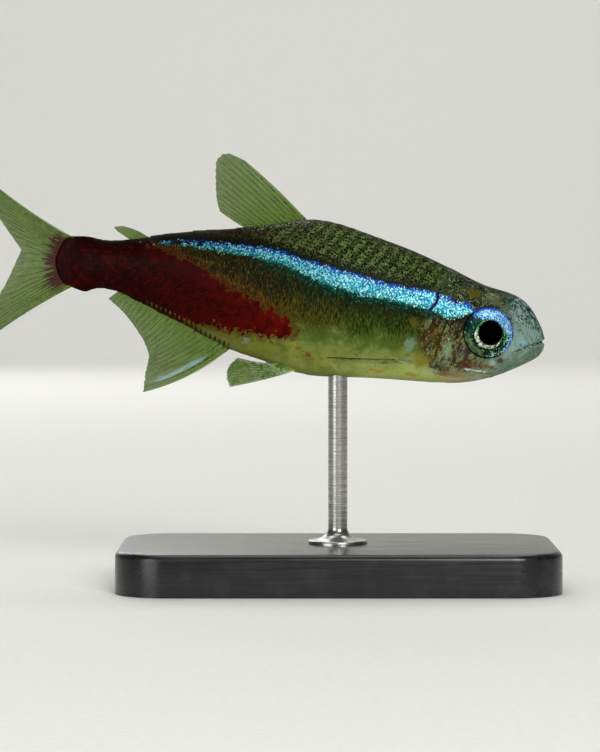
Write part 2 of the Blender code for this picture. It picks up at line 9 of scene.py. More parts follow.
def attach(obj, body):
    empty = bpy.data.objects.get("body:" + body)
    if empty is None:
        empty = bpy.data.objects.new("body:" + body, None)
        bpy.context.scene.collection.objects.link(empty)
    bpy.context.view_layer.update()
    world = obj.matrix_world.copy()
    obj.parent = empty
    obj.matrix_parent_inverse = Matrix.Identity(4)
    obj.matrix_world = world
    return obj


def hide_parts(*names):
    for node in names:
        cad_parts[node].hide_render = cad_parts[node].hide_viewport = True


# The looks of a life-size neon tetra on its display stand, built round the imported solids.
#
# Every part of the fish is made in the fish's own frame, in millimetres: a station runs from the
# snout tip (0) back along the body, a side runs to the fish's left, and a height runs up from the
# body's axis. posed() then bends the tail to the left, tips the fish nose down, lifts it onto the
# rod and turns millimetres to metres.

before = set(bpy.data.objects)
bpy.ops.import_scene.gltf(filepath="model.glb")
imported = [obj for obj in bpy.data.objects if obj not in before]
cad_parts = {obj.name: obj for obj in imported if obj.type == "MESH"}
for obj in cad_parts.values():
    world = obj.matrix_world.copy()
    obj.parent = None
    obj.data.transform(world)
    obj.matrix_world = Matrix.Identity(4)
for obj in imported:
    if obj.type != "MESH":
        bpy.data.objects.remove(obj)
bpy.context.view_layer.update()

MM = 0.001
rng = np.random.default_rng(7)

# Driving sizes of the fish and its stand, as the solids have them
STANDARD_LENGTH = 28.0
BODY_PITCH = math.radians(9.3)
BEND_STARTS = 12.6
BEND_PER_MM2 = 0.0075
BASE_LENGTH, BASE_WIDTH, BASE_HEIGHT = 25.0, 15.0, 2.4
BASE_CORNER, BASE_BEVEL = 3.0, 0.35
ROD_RADIUS, ROD_RISE, ROD_INTO_BELLY = 0.55, 9.5, 1.2
FOOT_RADIUS, FOOT_HEIGHT, FOOT_SUNK = 1.7, 0.9, 0.7
PIN_STATION = 11.2

# Outline of the body: (station, value), both as shares of the standard length
BACK_LINE = [(0.0, 0.010), (0.015, 0.040), (0.04, 0.069), (0.085, 0.0885), (0.13, 0.0945), (0.20, 0.1155),
             (0.30, 0.144), (0.40, 0.163), (0.505, 0.1705), (0.60, 0.143), (0.70, 0.118), (0.80, 0.092),
             (0.87, 0.0695), (0.925, 0.0610), (0.97, 0.0635), (1.0, 0.0590)]
BELLY_LINE = [(0.0, -0.022), (0.015, -0.040), (0.05, -0.064), (0.10, -0.0915), (0.155, -0.1095),
              (0.25, -0.122), (0.37, -0.1345), (0.48, -0.1425), (0.56, -0.1300), (0.62, -0.1195),
              (0.69, -0.0970), (0.76, -0.0740), (0.83, -0.0515), (0.88, -0.0390), (0.92, -0.0400),
              (0.96, -0.0510), (1.0, -0.0460)]
HALF_WIDTH = [(0.0, 0.012), (0.012, 0.028), (0.035, 0.043), (0.07, 0.056), (0.12, 0.068), (0.20, 0.0755),
              (0.30, 0.0775), (0.42, 0.0765), (0.52, 0.0690), (0.62, 0.0545), (0.72, 0.0400),
              (0.82, 0.0285), (0.90, 0.0210), (1.0, 0.0160)]
# Level of the widest point, as a share of the section's height above the belly
WIDEST_AT = [(0.0, 0.45), (0.12, 0.50), (0.30, 0.50), (0.60, 0.55), (1.0, 0.50)]
# Roundness of the section over and under that level: 2 is an ellipse, less is a wedge
ROUND_OVER = [(0.0, 2.2), (0.12, 2.5), (0.25, 2.2), (0.60, 2.0), (1.0, 2.2)]
ROUND_UNDER = [(0.0, 2.2), (0.15, 2.1), (0.45, 2.0), (0.62, 1.7), (0.80, 1.7), (1.0, 2.2)]
# Rounded end of the flesh, which the rays of the tail fin fan out from: (station, height)
FLESH_END = [(26.9, 3.4), (27.25, 2.1), (27.75, 1.2), (28.0, 0.15), (27.65, -0.8), (27.0, -1.6), (26.6, -2.9)]
END_STARTS = 25.0

# Lines of the head in side view: (station, height)
GAPE = [(-0.3, 0.20), (0.04, 0.02), (0.40, -0.14), (0.89, -0.39), (1.35, -0.64), (1.80, -0.95), (2.15, -1.25)]
GILL_EDGE = [(5.2, 4.6), (5.9, 3.1), (6.38, 1.95), (6.40, 1.45), (6.52, 1.10), (6.68, 0.80), (6.82, -0.13),
             (6.78, -1.0), (6.42, -1.85),
             (5.85, -2.55), (5.06, -3.05), (4.3, -3.6)]
CHEEK_EDGE = [(4.75, 0.9), (5.15, 0.3), (5.2, -0.5), (4.95, -1.3), (4.4, -1.95), (3.5, -2.35), (2.7, -2.3)]
JAW_BONE = [(1.15, -0.45), (1.75, -0.85), (2.3, -1.45), (2.45, -1.95)]
THROAT_FOLDS = [[(2.5, -2.2), (3.6, -2.62), (4.9, -2.85), (5.9, -2.75)],
                [(2.7, -2.5), (3.8, -2.85), (5.0, -3.05)]]
NOSTRILS = [(1.30, 1.12), (1.68, 1.28)]

# Eye
EYE_STATION, EYE_HEIGHT = 3.25, 0.05
EYE_RADIUS, PUPIL_RADIUS = 1.43, 0.68
EYE_SUNK, EYE_DEPTH = 0.14, 1.0
PUPIL_FORWARD = 0.10
EYE_FORWARD, EYE_UP = math.radians(8), math.radians(3)

# Markings, in side view: the two edges of the neon stripe, and the outline of the red flank
STRIPE_TOP = [(4.0, 1.10), (4.27, 1.28), (4.75, 1.53), (5.4, 1.46), (5.58, 1.50), (5.75, 1.68), (6.28, 1.66),
              (6.5, 1.83), (7.4, 1.86), (8.63, 1.85),
              (9.8, 1.93), (11.0, 2.12), (12.2, 2.22), (13.4, 2.38), (14.6, 2.55), (15.6, 2.74), (16.8, 2.76),
              (19.2, 2.64), (21.0, 2.46), (22.0, 2.30), (23.3, 1.95)]
STRIPE_FOOT = [(4.0, 1.1), (4.45, 0.95), (4.96, 0.66), (5.51, 0.50), (6.1, 0.58), (6.61, 0.80), (8.48, 0.95),
               (9.6, 0.99), (10.8, 1.00), (12.0, 1.17), (13.2, 1.36), (14.2, 1.66), (15.2, 1.92), (16.8, 2.10),
               (18.4, 2.12), (20.2, 2.12), (22.0, 2.06), (23.3, 1.86)]
STRIPE_ENDS = 23.3
RED_AREA = [(14.05, -1.80), (14.3, -1.42), (14.75, -1.10), (15.16, -0.80), (15.73, -0.80), (16.33, -0.60),
            (17.2, -0.15), (18.0, 0.10), (18.8, 0.40), (19.5, 0.80), (20.2, 1.12), (20.9, 1.42), (21.9, 1.55),
            (23.0, 1.75), (23.4, 3.0), (30.0, 3.5), (30.0, -3.5), (24.0, -3.0),
            (22.4, -2.6), (21.2, -2.6), (20.2, -2.2), (19.2, -2.05), (18.4, -2.12), (17.2, -2.18),
            (16.1, -2.08), (14.95, -2.06)]

# Patches of colour on the head and belly, one of them a painted highlight:
# (station, height, half length, half height, sRGB colour, strength)
PATCHES = [(4.41, 2.11, 0.50, 0.25, "564e10", 0.60),
           (2.15, 0.96, 0.11, 0.12, "101c18", 0.85),
           (2.06, 0.70, 0.09, 0.11, "101c18", 0.80),
           (1.97, 0.46, 0.09, 0.10, "101c18", 0.80),
           (3.23, 1.98, 0.60, 0.32, "5c6248", 0.60),
           (4.95, -0.05, 0.42, 0.40, "2b2010", 0.75),
           (6.45, -0.85, 0.60, 0.75, "3e2e0a", 0.75),
           (6.18, -0.35, 0.16, 0.07, "7a1208", 0.90),
           (5.49, -0.78, 0.07, 0.14, "7a120a", 0.90),
           (6.68, -2.10, 0.42, 0.42, "7c6a14", 0.70),
           (5.36, -1.34, 0.26, 0.75, "7a9470", 0.60),
           (4.52, -1.20, 0.42, 0.42, "3c3034", 0.70),
           (3.75, -1.88, 0.70, 0.18, "5c2c1c", 0.60),
           (2.67, -1.88, 0.27, 0.13, "6a2a2a", 0.70),
           (4.90, -2.62, 0.95, 0.13, "86603a", 0.60),
           (7.05, -2.99, 0.42, 0.12, "9a6228", 0.50),
           (2.73, -1.56, 0.22, 0.20, "9cb6ae", 0.70),
           (2.31, -1.43, 0.24, 0.17, "362a32", 0.80),
           (3.56, -2.19, 0.62, 0.06, "c6d6ce", 0.85),
           (3.40, -2.62, 0.80, 0.09, "a4bcb0", 0.60),
           (1.14, -0.21, 0.22, 0.13, "6fa6c8", 0.80),
           (1.29, -0.34, 0.09, 0.08, "14704c", 0.85),
           # pale patch just behind the lower edge of the gill cover: a painted highlight
           (6.08, -2.60, 0.44, 0.15, "94a27a", 0.65),
           (7.67, -2.26, 0.36, 0.10, "62666e", 0.75),
           (7.50, -1.33, 0.30, 0.46, "7e9884", 0.45),
           (7.44, -0.10, 0.40, 0.36, "55561a", 0.60),
           (9.10, -3.10, 0.38, 0.12, "a87a28", 0.60),
           (13.1, -2.85, 0.22, 0.14, "6a4018", 0.85),
           (13.75, -2.55, 0.16, 0.11, "6c4a14", 0.75),
           (14.25, -2.48, 0.20, 0.12, "787412", 0.70),
           (14.9, -2.52, 0.34, 0.12, "5e5010", 0.55),
           (12.3, -3.10, 0.45, 0.12, "8a7a24", 0.45),
           (16.75, -2.55, 0.15, 0.28, "7c8a8c", 0.38)]

# Spacing of the roots of the anal fin's rays, and of the leaning bands on the back
ANAL_RAY_SPACING = 6.8 / 24
BAND_SPACING = 0.72

# Fineness of the skin: rings over the head, over the rest, and points round each ring
HEAD_ENDS, HEAD_STEP, BODY_STEP = 7.4, 0.05, 0.16
ROUND_POINTS = 300
COAT_DEPTH = 0.03

# Scales: rows across the flank and steps along a row, against the station, in millimetres
SCALE_STATIONS = (5.0, 12.0, 22.0, 28.0)
ROW_SPACING = (0.52, 0.66, 0.52, 0.42)
SCALE_SPACING = (0.62, 0.78, 0.66, 0.52)
SCALE_CELLS = 6
SCALE_LIFT, SCALE_THICKNESS = 0.030, 0.012
PATCH_ON_UNWRAP = 0.004

# Dome of the snout ahead of the first ring: the lower lip stands furthest forward
NOSE_DOME, LOWER_LIP_DOME = 0.02, 0.11
LOWER_LIP_LEVEL, LOWER_LIP_REACH = -0.40, 0.26
# Share of the body's width that is gone at the root of the tail fin
TAIL_TAPER, TAPER_STARTS = 0.72, 26.0


# Shape of the body

def smooth_line(points):
    """A natural cubic spline through (share, value) points, against the root of the share, which
    suits a blunt snout."""
    x = np.sqrt([p[0] for p in points])
    y = np.array([p[1] for p in points])
    step = np.diff(x)
    system, right = np.eye(len(x)), np.zeros(len(x))
    for i in range(1, len(x) - 1):
        system[i, i - 1:i + 2] = step[i - 1], 2 * (step[i - 1] + step[i]), step[i]
        right[i] = 6 * ((y[i + 1] - y[i]) / step[i] - (y[i] - y[i - 1]) / step[i - 1])
    curve = np.linalg.solve(system, right)

    def value(share):
        at = np.sqrt(np.maximum(share, 0.0))
        i = np.clip(np.searchsorted(x, at) - 1, 0, len(step) - 1)
        a, b = x[i + 1] - at, at - x[i]
        return ((curve[i] * a ** 3 + curve[i + 1] * b ** 3) / (6 * step[i])
                + (y[i] / step[i] - curve[i] * step[i] / 6) * a
                + (y[i + 1] / step[i] - curve[i + 1] * step[i] / 6) * b)

    return value


back, belly, half_width = smooth_line(BACK_LINE), smooth_line(BELLY_LINE), smooth_line(HALF_WIDTH)
widest_at, round_over, round_under = smooth_line(WIDEST_AT), smooth_line(ROUND_OVER), smooth_line(ROUND_UNDER)


def through(points, per_span=6):
    """A smooth line (Catmull-Rom) through a few points, as a denser array of points."""
    p = [np.array(q, float) for q in points]
    p = [2 * p[0] - p[1], *p, 2 * p[-1] - p[-2]]
    line = []
    for a, b, c, d in zip(p, p[1:], p[2:], p[3:]):
        for k in range(per_span):
            t = k / per_span
            line.append(0.5 * (2 * b + (c - a) * t + (2 * a - 5 * b + 4 * c - d) * t ** 2
                               + (3 * b - a - 3 * c + d) * t ** 3))
    return np.array([*line, p[-2]])


def along(points):
    """A function from 0..1 to the smooth line through the points."""
    line = through(points, 8)
    places = np.linspace(0, 1, len(line))
    return lambda u: np.stack([np.interp(u, places, line[:, k]) for k in range(line.shape[1])], axis=-1)


def ease(value, low, high):
    """0 at low, 1 at high, and smooth between."""
    t = np.clip((value - low) / (high - low), 0.0, 1.0)
    return t * t * (3 - 2 * t)


def hump(distance, width):
    return np.exp(-(distance / width) ** 2)


def section(station):
    """Top, widest level, bottom and half width at a station, and the two roundnesses."""
    share = station / STANDARD_LENGTH
    top, bottom = back(share) * STANDARD_LENGTH, belly(share) * STANDARD_LENGTH
    level = bottom + widest_at(share) * (top - bottom)
    return top, level, bottom, half_width(share) * STANDARD_LENGTH, round_over(share), round_under(share)


FLESH_LINE = through(FLESH_END)[::-1]


def surface(station, angle):
    """Points of the plain body at angles from the top, to the left for angles under pi. Towards
    the tail the rings lean, so that the last one lies on the rounded end of the flesh."""
    top, level, bottom, half, over, under = section(station)
    s, c = np.sin(angle), np.cos(angle)
    power = 2 / np.where(c > 0, over, under)
    reach = np.where(c > 0, top, bottom) - level
    half = half * (1 - TAIL_TAPER * ease(station, TAPER_STARTS, STANDARD_LENGTH))
    side = np.sign(s) * np.abs(s) ** power * half
    height = level + np.abs(c) ** power * reach
    short = STANDARD_LENGTH - np.interp(height, FLESH_LINE[:, 1], FLESH_LINE[:, 0])
    lean = short * ease(station, END_STARTS, STANDARD_LENGTH)
    return np.stack([lean - station + 0 * angle, side, height], axis=-1)


def outward(station, angle):
    """Unit normals of the plain body."""
    e = 0.01
    back_along = surface(station + e, angle) - surface(station - e, angle)
    around = surface(station, angle + e) - surface(station, angle - e)
    normal = np.cross(around, back_along)
    return normal / np.linalg.norm(normal, axis=-1, keepdims=True)


def body_side(station, height):
    """Half the body's width at a station and a height."""
    top, level, bottom, half, over, under = section(station)
    reach = np.where(height > level, top, bottom) - level
    power = np.where(height > level, over, under)
    share = np.minimum(np.abs((height - level) / reach), 1.0)
    return half * (1 - share ** power) ** (1 / power)


def posed(points):
    """Points of the fish's frame in millimetres, as points of the object's frame in metres."""
    x, y, z = np.moveaxis(np.asarray(points, float), -1, 0)
    y = y + BEND_PER_MM2 * np.maximum(0.0, -x - BEND_STARTS) ** 2
    c, s = math.cos(BODY_PITCH), math.sin(BODY_PITCH)
    pin_x, pin_z = -PIN_STATION, belly(PIN_STATION / STANDARD_LENGTH) * STANDARD_LENGTH
    lift_x = -(pin_x * c + pin_z * s)
    lift_z = BASE_HEIGHT + ROD_RISE - (pin_z * c - pin_x * s)
    return np.stack([x * c + z * s + lift_x, y, z * c - x * s + lift_z], axis=-1) * MM


class Girth:
    """The distance round the section from the ridge of the back, at a station and a share of the
    section's height."""

    def __init__(self):
        self.stations, self.turns = np.linspace(0, STANDARD_LENGTH, 141), np.linspace(0, 1, 241)
        fine = np.linspace(0, math.pi, 361)
        self.table = []
        for station in self.stations:
            ring = surface(np.full(len(fine), station), fine)
            walked = np.concatenate([[0], np.cumsum(np.linalg.norm(np.diff(ring, axis=0), axis=1))])
            top, _, bottom, *_ = section(station)
            self.table.append(np.interp(self.turns, self.turn((ring[:, 2] - bottom) / (top - bottom)), walked))
        self.table = np.array(self.table)

    @staticmethod
    def turn(rise):
        return np.arccos(np.clip(2 * rise - 1, -1, 1)) / math.pi

    def at(self, station, rise):
        i = np.clip(station / self.stations[1], 0, len(self.stations) - 1.001)
        j = np.clip(self.turn(rise) / self.turns[1], 0, len(self.turns) - 1.001)
        i0, j0 = i.astype(int), j.astype(int)
        a, b, t = i - i0, j - j0, self.table
        return ((t[i0, j0] * (1 - a) + t[i0 + 1, j0] * a) * (1 - b)
                + (t[i0, j0 + 1] * (1 - a) + t[i0 + 1, j0 + 1] * a) * b)


girth = Girth()


# Distances in side view that the relief and the markings are made from

def line_distance(places, line):
    """Distance from (station, height) places to a line."""
    best = np.full(len(places), np.inf)
    for a, b in zip(line, line[1:]):
        run = b - a
        share = np.clip((places - a) @ run / (run @ run), 0, 1)
        best = np.minimum(best, np.linalg.norm(places - a - share[:, None] * run, axis=1))
    return best


def inside(places, outline):
    """Whether places lie inside a closed outline."""
    odd = np.zeros(len(places), bool)
    for a, b in zip(outline, np.roll(outline, -1, axis=0)):
        spans = (a[1] > places[:, 1]) != (b[1] > places[:, 1])
        rise = np.where(b[1] == a[1], 1.0, b[1] - a[1])
        odd ^= spans & (places[:, 0] < a[0] + (places[:, 1] - a[1]) * (b[0] - a[0]) / rise)
    return odd


def eye_axes(side):
    """Centre of an eye, and its forward, upward and outward directions."""
    reach = float(body_side(np.array(EYE_STATION), np.array(EYE_HEIGHT))) - EYE_SUNK
    out = Vector((math.sin(EYE_FORWARD), side * math.cos(EYE_FORWARD), math.sin(EYE_UP))).normalized()
    ahead = (Vector((1, 0, 0)) - out * out.x).normalized()
    up = Vector((0, 0, 1)) - out * out.z
    up = (up - ahead * up.dot(ahead)).normalized()
    centre = Vector((-EYE_STATION, side * reach, EYE_HEIGHT))
    return [np.array(v) for v in (centre, ahead, up, out)]


def fields(points):
    """What the markings depend on, for points of the plain body."""
    places = np.stack([-points[:, 0], points[:, 2]], axis=1)
    station, height = places.T
    share = np.clip(station, 0, STANDARD_LENGTH) / STANDARD_LENGTH
    top, bottom = back(share) * STANDARD_LENGTH, belly(share) * STANDARD_LENGTH
    stripe_top, stripe_foot = through(STRIPE_TOP), through(STRIPE_FOOT)
    gill_edge, gape = through(GILL_EDGE), through(GAPE)
    red_area = np.array(RED_AREA)
    red = line_distance(places, np.vstack([red_area, red_area[:1]]))
    centre, ahead, up, out = eye_axes(1)
    from_eye = np.stack([points[:, 0], np.abs(points[:, 1]), points[:, 2]], axis=1) - centre
    rise = np.clip((height - bottom) / (top - bottom), 0, 1)
    return {
        "station": station, "height": height, "side": points[:, 1], "rise": rise,
        "girth": girth.at(np.clip(station, 0, STANDARD_LENGTH), rise),
        "over": height - np.interp(station, stripe_top[:, 0], stripe_top[:, 1]),
        "under": np.interp(station, stripe_foot[:, 0], stripe_foot[:, 1]) - height,
        "red": np.where(inside(places, red_area), red, -red),
        "gill": line_distance(places, gill_edge) * np.sign(
            station - np.interp(height, gill_edge[::-1, 1], gill_edge[::-1, 0])),
        "mouth": line_distance(places, gape) * np.sign(height - np.interp(station, gape[:, 0], gape[:, 1])),
        "orbit": np.where(from_eye @ out > -1.6, np.hypot(from_eye @ ahead, from_eye @ up), 9.0)}


def relief(points):
    """How far the skin stands off the plain body: the coat's depth under the scales, and on the
    head the orbit, gape, lips, nostrils, gill cover and the edges of the bones of the cheek."""
    f = fields(points)
    places = np.stack([f["station"], f["height"]], axis=1)
    covered = ease(f["height"], 2.5, 1.8) * ease(f["height"], -2.9, -1.9)
    off = -COAT_DEPTH * ease(f["gill"], 0.0, 0.3)
    off += 0.07 * ease(f["gill"], 0.05, -0.03) * ease(f["gill"], -2.0, -0.4) * covered
    off -= 0.04 * hump(f["gill"] - 0.08, 0.06) * covered
    orbit = f["orbit"]
    off -= EYE_DEPTH * 0.75 * ease(orbit, EYE_RADIUS + 0.03, EYE_RADIUS - 0.09)
    off += 0.035 * hump(orbit - EYE_RADIUS - 0.09, 0.07)
    gape = ease(f["station"], 2.2, 1.7)
    front = ease(f["station"], 1.0, 0.1)
    off -= (0.055 + 0.03 * front) * hump(f["mouth"], 0.035 + 0.03 * front) * gape
    off += (0.02 + 0.03 * front) * hump(f["mouth"] - 0.17, 0.10) * gape
    off += (0.02 + 0.03 * front) * hump(f["mouth"] + 0.19, 0.12) * gape
    for nostril in NOSTRILS:
        away = np.linalg.norm(places - nostril, axis=1)
        off += 0.03 * hump(away - 0.15, 0.05) - 0.20 * hump(away, 0.085)
    off -= 0.030 * hump(line_distance(places, through(CHEEK_EDGE)), 0.06)
    off += 0.020 * hump(line_distance(places, through(CHEEK_EDGE)) - 0.16, 0.10)
    off += 0.030 * hump(line_distance(places, through(JAW_BONE)), 0.08)
    for fold in THROAT_FOLDS:
        off -= 0.025 * hump(line_distance(places, through(fold)), 0.05)
    return off


# Meshes

def piece(name, points, faces, finish, nodes=(), values=None, sharp=50):
    """A mesh of the fish in its pose, riding on the root and standing for its solids. values are
    vectors at its points for the finish to read."""
    return placed_piece(name, posed(points), faces, finish, nodes, values, sharp)


def placed_piece(name, points, faces, finish, nodes=(), values=None, sharp=50):
    mesh = bpy.data.meshes.new(name)
    mesh.from_pydata(np.asarray(points).tolist(), [], [list(face) for face in faces])
    for title, data in (values or {}).items():
        attribute = mesh.attributes.new(title, "FLOAT_VECTOR", "POINT")
        attribute.data.foreach_set("vector", np.ascontiguousarray(data, np.float32).ravel())
    mesh.shade_smooth()
    mesh.set_sharp_from_angle(angle=math.radians(sharp))
    mesh.materials.append(finish)
    made = bpy.data.objects.new(name, mesh)
    bpy.context.scene.collection.objects.link(made)
    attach(made, "root")
    if nodes:
        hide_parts(*nodes)
    return made


def markings(points, rim=0.0):
    """The vectors that the skin's finish reads: place, zones, marks and face."""
    f = fields(points)
    nothing = np.zeros(len(points))
    return {"place": np.stack([f["station"], f["side"], f["height"]], axis=1),
            "zones": np.stack([f["over"], f["under"], f["rise"]], axis=1),
            "marks": np.stack([f["gill"], f["red"], rim + nothing], axis=1),
            "face": np.stack([f["mouth"], f["orbit"], f["girth"]], axis=1)}


def even_turns(station, count):
    """Angles that lie at even distances round the section."""
    fine = np.linspace(0, 2 * math.pi, 1441)
    ring = surface(np.full(len(fine), station), fine)
    walked = np.concatenate([[0], np.cumsum(np.linalg.norm(np.diff(ring, axis=0), axis=1))])
    return np.interp(np.linspace(0, walked[-1], count, endpoint=False), walked, fine)


def skin(finish):
    """One skin from the lips to the root of the tail fin, rounded over at the snout."""
    stations = np.concatenate([np.arange(0, HEAD_ENDS, HEAD_STEP),
                               np.arange(HEAD_ENDS, STANDARD_LENGTH, BODY_STEP), [STANDARD_LENGTH]])
    stations[0] = 0.004
    turns = np.array([even_turns(s, ROUND_POINTS) for s in stations])
    long = np.repeat(stations[:, None], ROUND_POINTS, axis=1)
    plain = surface(long, turns)
    normal = outward(long, turns)
    first, last = plain[0], plain[-1]
    middle = first.mean(axis=0)
    ahead = np.array([1.0, 0, 0])
    nose, nose_normal = [], []
    for a in np.radians([80, 68, 54, 40, 26, 13]):
        ring = middle + (first - middle) * math.cos(a)
        dome = NOSE_DOME + LOWER_LIP_DOME * hump(ring[:, 2] - LOWER_LIP_LEVEL, LOWER_LIP_REACH)
        ring[:, 0] += dome * math.sin(a)
        nose.append(ring)
        nose_normal.append(normal[0] * math.cos(a) + ahead * math.sin(a))
    tail = []
    for a in np.radians([25, 50, 72]):
        ring = last * [1, math.cos(a), 1]
        ring[:, 0] -= 0.35 * math.sin(a)
        tail.append(ring)
    plain = np.concatenate([nose, plain, tail])
    normal = np.concatenate([nose_normal, normal, [normal[-1]] * len(tail)])
    rows, count = plain.shape[:2]
    flat = plain.reshape(-1, 3)
    points = flat + normal.reshape(-1, 3) * relief(flat)[:, None]
    faces = grid_faces(rows, count)
    for start, turn in ((0, -1), ((rows - 1) * count, 1)):
        for k in range(count // 2):
            left, right = (k, k + 1), ((count - k) % count, count - k - 1)
            corners = [start + i for i in dict.fromkeys((left[0], left[1], right[1], right[0]))]
            faces.append(corners[::turn])
    return piece("skin", points, faces, finish,
                 ("head", "lower_jaw", "gill_cover_left", "gill_cover_right", "trunk", "tail_stalk"),
                 markings(flat), sharp=60)


def grid_faces(rows, count):
    """Faces between rings of points, each ring closed."""
    faces = []
    for j in range(rows - 1):
        for k in range(count):
            n = (k + 1) % count
            faces.append([j * count + k, j * count + n, (j + 1) * count + n, (j + 1) * count + k])
    return faces


class Flank:
    """Turns a station and a distance up from the line of the widest points to an angle."""

    def __init__(self):
        self.stations = np.linspace(0, STANDARD_LENGTH, 141)
        self.distances = np.linspace(-6, 6, 481)
        fine = np.linspace(0, math.pi, 361)
        self.table, self.up, self.down = [], [], []
        for station in self.stations:
            ring = surface(np.full(len(fine), station), fine)
            walked = np.concatenate([[0], np.cumsum(np.linalg.norm(np.diff(ring, axis=0), axis=1))])
            middle = np.interp(math.pi / 2, fine, walked)
            self.table.append(np.interp(-self.distances, walked - middle, fine))
            self.up.append(middle)
            self.down.append(walked[-1] - middle)
        self.table = np.array(self.table)

    def angle(self, station, distance):
        i = np.clip(station / STANDARD_LENGTH * (len(self.stations) - 1), 0, len(self.stations) - 1.001)
        j = np.clip((distance - self.distances[0]) / (self.distances[1] - self.distances[0]), 0,
                    len(self.distances) - 1.001)
        i0, j0 = i.astype(int), j.astype(int)
        a, b = i - i0, j - j0
        t = self.table
        return ((t[i0, j0] * (1 - a) + t[i0 + 1, j0] * a) * (1 - b)
                + (t[i0, j0 + 1] * (1 - a) + t[i0 + 1, j0 + 1] * a) * b)

    def room(self, station):
        """How far the flank reaches up and down at a station."""
        return np.interp(station, self.stations, self.up), np.interp(station, self.stations, self.down)


def scales(side, name, finish):
    """The scales of one flank, as one mesh of thin closed plates that overlap like tiles, each with
    its front end under the plate ahead and its round rear end free."""
    flank = Flank()
    ticks = np.linspace(-1, 1, SCALE_CELLS + 1)
    p, q = (grid.ravel() for grid in np.meshgrid(ticks, ticks))
    disc_x, disc_y = p * np.sqrt(1 - q ** 2 / 2), q * np.sqrt(1 - p ** 2 / 2)
    out = np.clip(np.hypot(disc_x, disc_y), 0, 1)
    n = SCALE_CELLS + 1
    cell = np.array([[j * n + i, j * n + i + 1, (j + 1) * n + i + 1, (j + 1) * n + i]
                     for j in range(SCALE_CELLS) for i in range(SCALE_CELLS)])
    rim = [*range(n), *range(2 * n - 1, n * n, n), *range(n * n - 2, n * (n - 1) - 1, -1),
           *range(n * (n - 2), 0, -n)]
    under = n * n
    walls = np.array([[a + under, b + under, b, a] for a, b in zip(rim, rim[1:] + rim[:1])])
    plate_faces = np.vstack([cell, cell[:, ::-1] + under, walls])
    if side > 0:
        plate_faces = plate_faces[:, ::-1]

    points, faces, rims, spots, plains = [], [], [], [], []
    start = SCALE_STATIONS[0]
    places = [start]
    while places[-1] < 27.2:
        places.append(places[-1] + np.interp(places[-1], SCALE_STATIONS, SCALE_SPACING))
    edge = through(GILL_EDGE)
    for row in range(-9, 10):
        for place in places:
            step = np.interp(place, SCALE_STATIONS, SCALE_SPACING)
            spacing = np.interp(place, SCALE_STATIONS, ROW_SPACING)
            station = place + (0.5 * step if row % 2 else 0.0)
            up, down = flank.room(station)
            distance = row * spacing
            if not -down + 0.30 * spacing < distance < up - 0.30 * spacing or station > 27.3:
                continue
            centre = surface(np.array(station), flank.angle(np.array([station]), np.array([distance]))[0])
            behind = -centre[0] - np.interp(centre[2], edge[::-1, 1], edge[::-1, 0])
            if behind < 0.42:
                continue
            size = 1 + rng.uniform(-0.04, 0.04)
            a = (disc_x * 0.78 - 0.16) * step * size
            stations = np.minimum(station + a, STANDARD_LENGTH - 0.02)
            b = disc_y * 0.64 * spacing * size + row * (
                np.interp(stations, SCALE_STATIONS, ROW_SPACING))
            b = np.clip(b, -down, up)
            angle = side * flank.angle(stations, b)
            ground, normal = surface(stations, angle), outward(stations, angle)
            slope = ease(disc_x, -1.0, 1.0)
            crown = 0.008 * (1 - disc_y ** 2)
            lift = (-0.024 + SCALE_LIFT * slope + crown)[:, None]
            thick = (SCALE_THICKNESS * (1 - 0.6 * out ** 2))[:, None]
            base = len(points) * 2 * under
            points.append(np.vstack([ground + normal * lift, ground + normal * (lift - thick)]))
            plains.append(np.vstack([ground, ground]))
            faces.append(plate_faces + base)
            free = np.where(disc_x > -0.2, out, 0.0) * ease(disc_x, -0.4, 0.5)
            rims.append(np.tile(free, 2))
            middle = np.array([station / STANDARD_LENGTH, 0.5 + 0.5 * side * float(np.mean(np.abs(angle))) / math.pi])
            spots.append(np.tile(middle + np.stack([disc_x, disc_y], axis=1) * PATCH_ON_UNWRAP / 2, (2, 1)))
    points, plains = np.vstack(points), np.vstack(plains)
    made = piece(name, points, np.vstack(faces), finish, (),
                 markings(plains, np.concatenate(rims)), sharp=70)
    add_unwrap(made.data, np.vstack(spots))
    return made


def add_unwrap(mesh, spots):
    """The map OFBake, with one place on the unwrapped skin for each point."""
    corners = np.zeros(len(mesh.loops), np.int32)
    mesh.loops.foreach_get("vertex_index", corners)
    mesh.uv_layers.new(name="OFBake").data.foreach_set("uv", spots[corners].astype(np.float32).ravel())


def eye(side, name, node, finish, lens_finish):
    """The eyeball, a ring of iris that rises to the pupil, and the lens that stands in it."""
    iris = [(EYE_RADIUS * 0.80, -0.55), (EYE_RADIUS * 1.0, -0.20), (EYE_RADIUS * 1.005, -0.06)]
    for r in np.linspace(EYE_RADIUS * 0.99, PUPIL_RADIUS + 0.05, 18):
        iris.append((r, 0.02 + 0.21 * (1 - (r / EYE_RADIUS) ** 2) ** 0.8))
    rim = iris[-1][1]
    iris += [(PUPIL_RADIUS + 0.02, rim + 0.012), (PUPIL_RADIUS - 0.03, rim - 0.02), (PUPIL_RADIUS - 0.10, rim - 0.06)]
    lens = [(PUPIL_RADIUS - 0.10, rim - 0.05), (PUPIL_RADIUS - 0.015, rim - 0.03)]
    for r in np.linspace(PUPIL_RADIUS - 0.05, 0.02, 14):
        lens.append((r, rim - 0.02 + 0.13 * (1 - (r / PUPIL_RADIUS) ** 2)))
    round_eye("eyeball_" + name, side, iris, finish, (node,))
    round_eye("lens_" + name, side, lens, lens_finish, ())


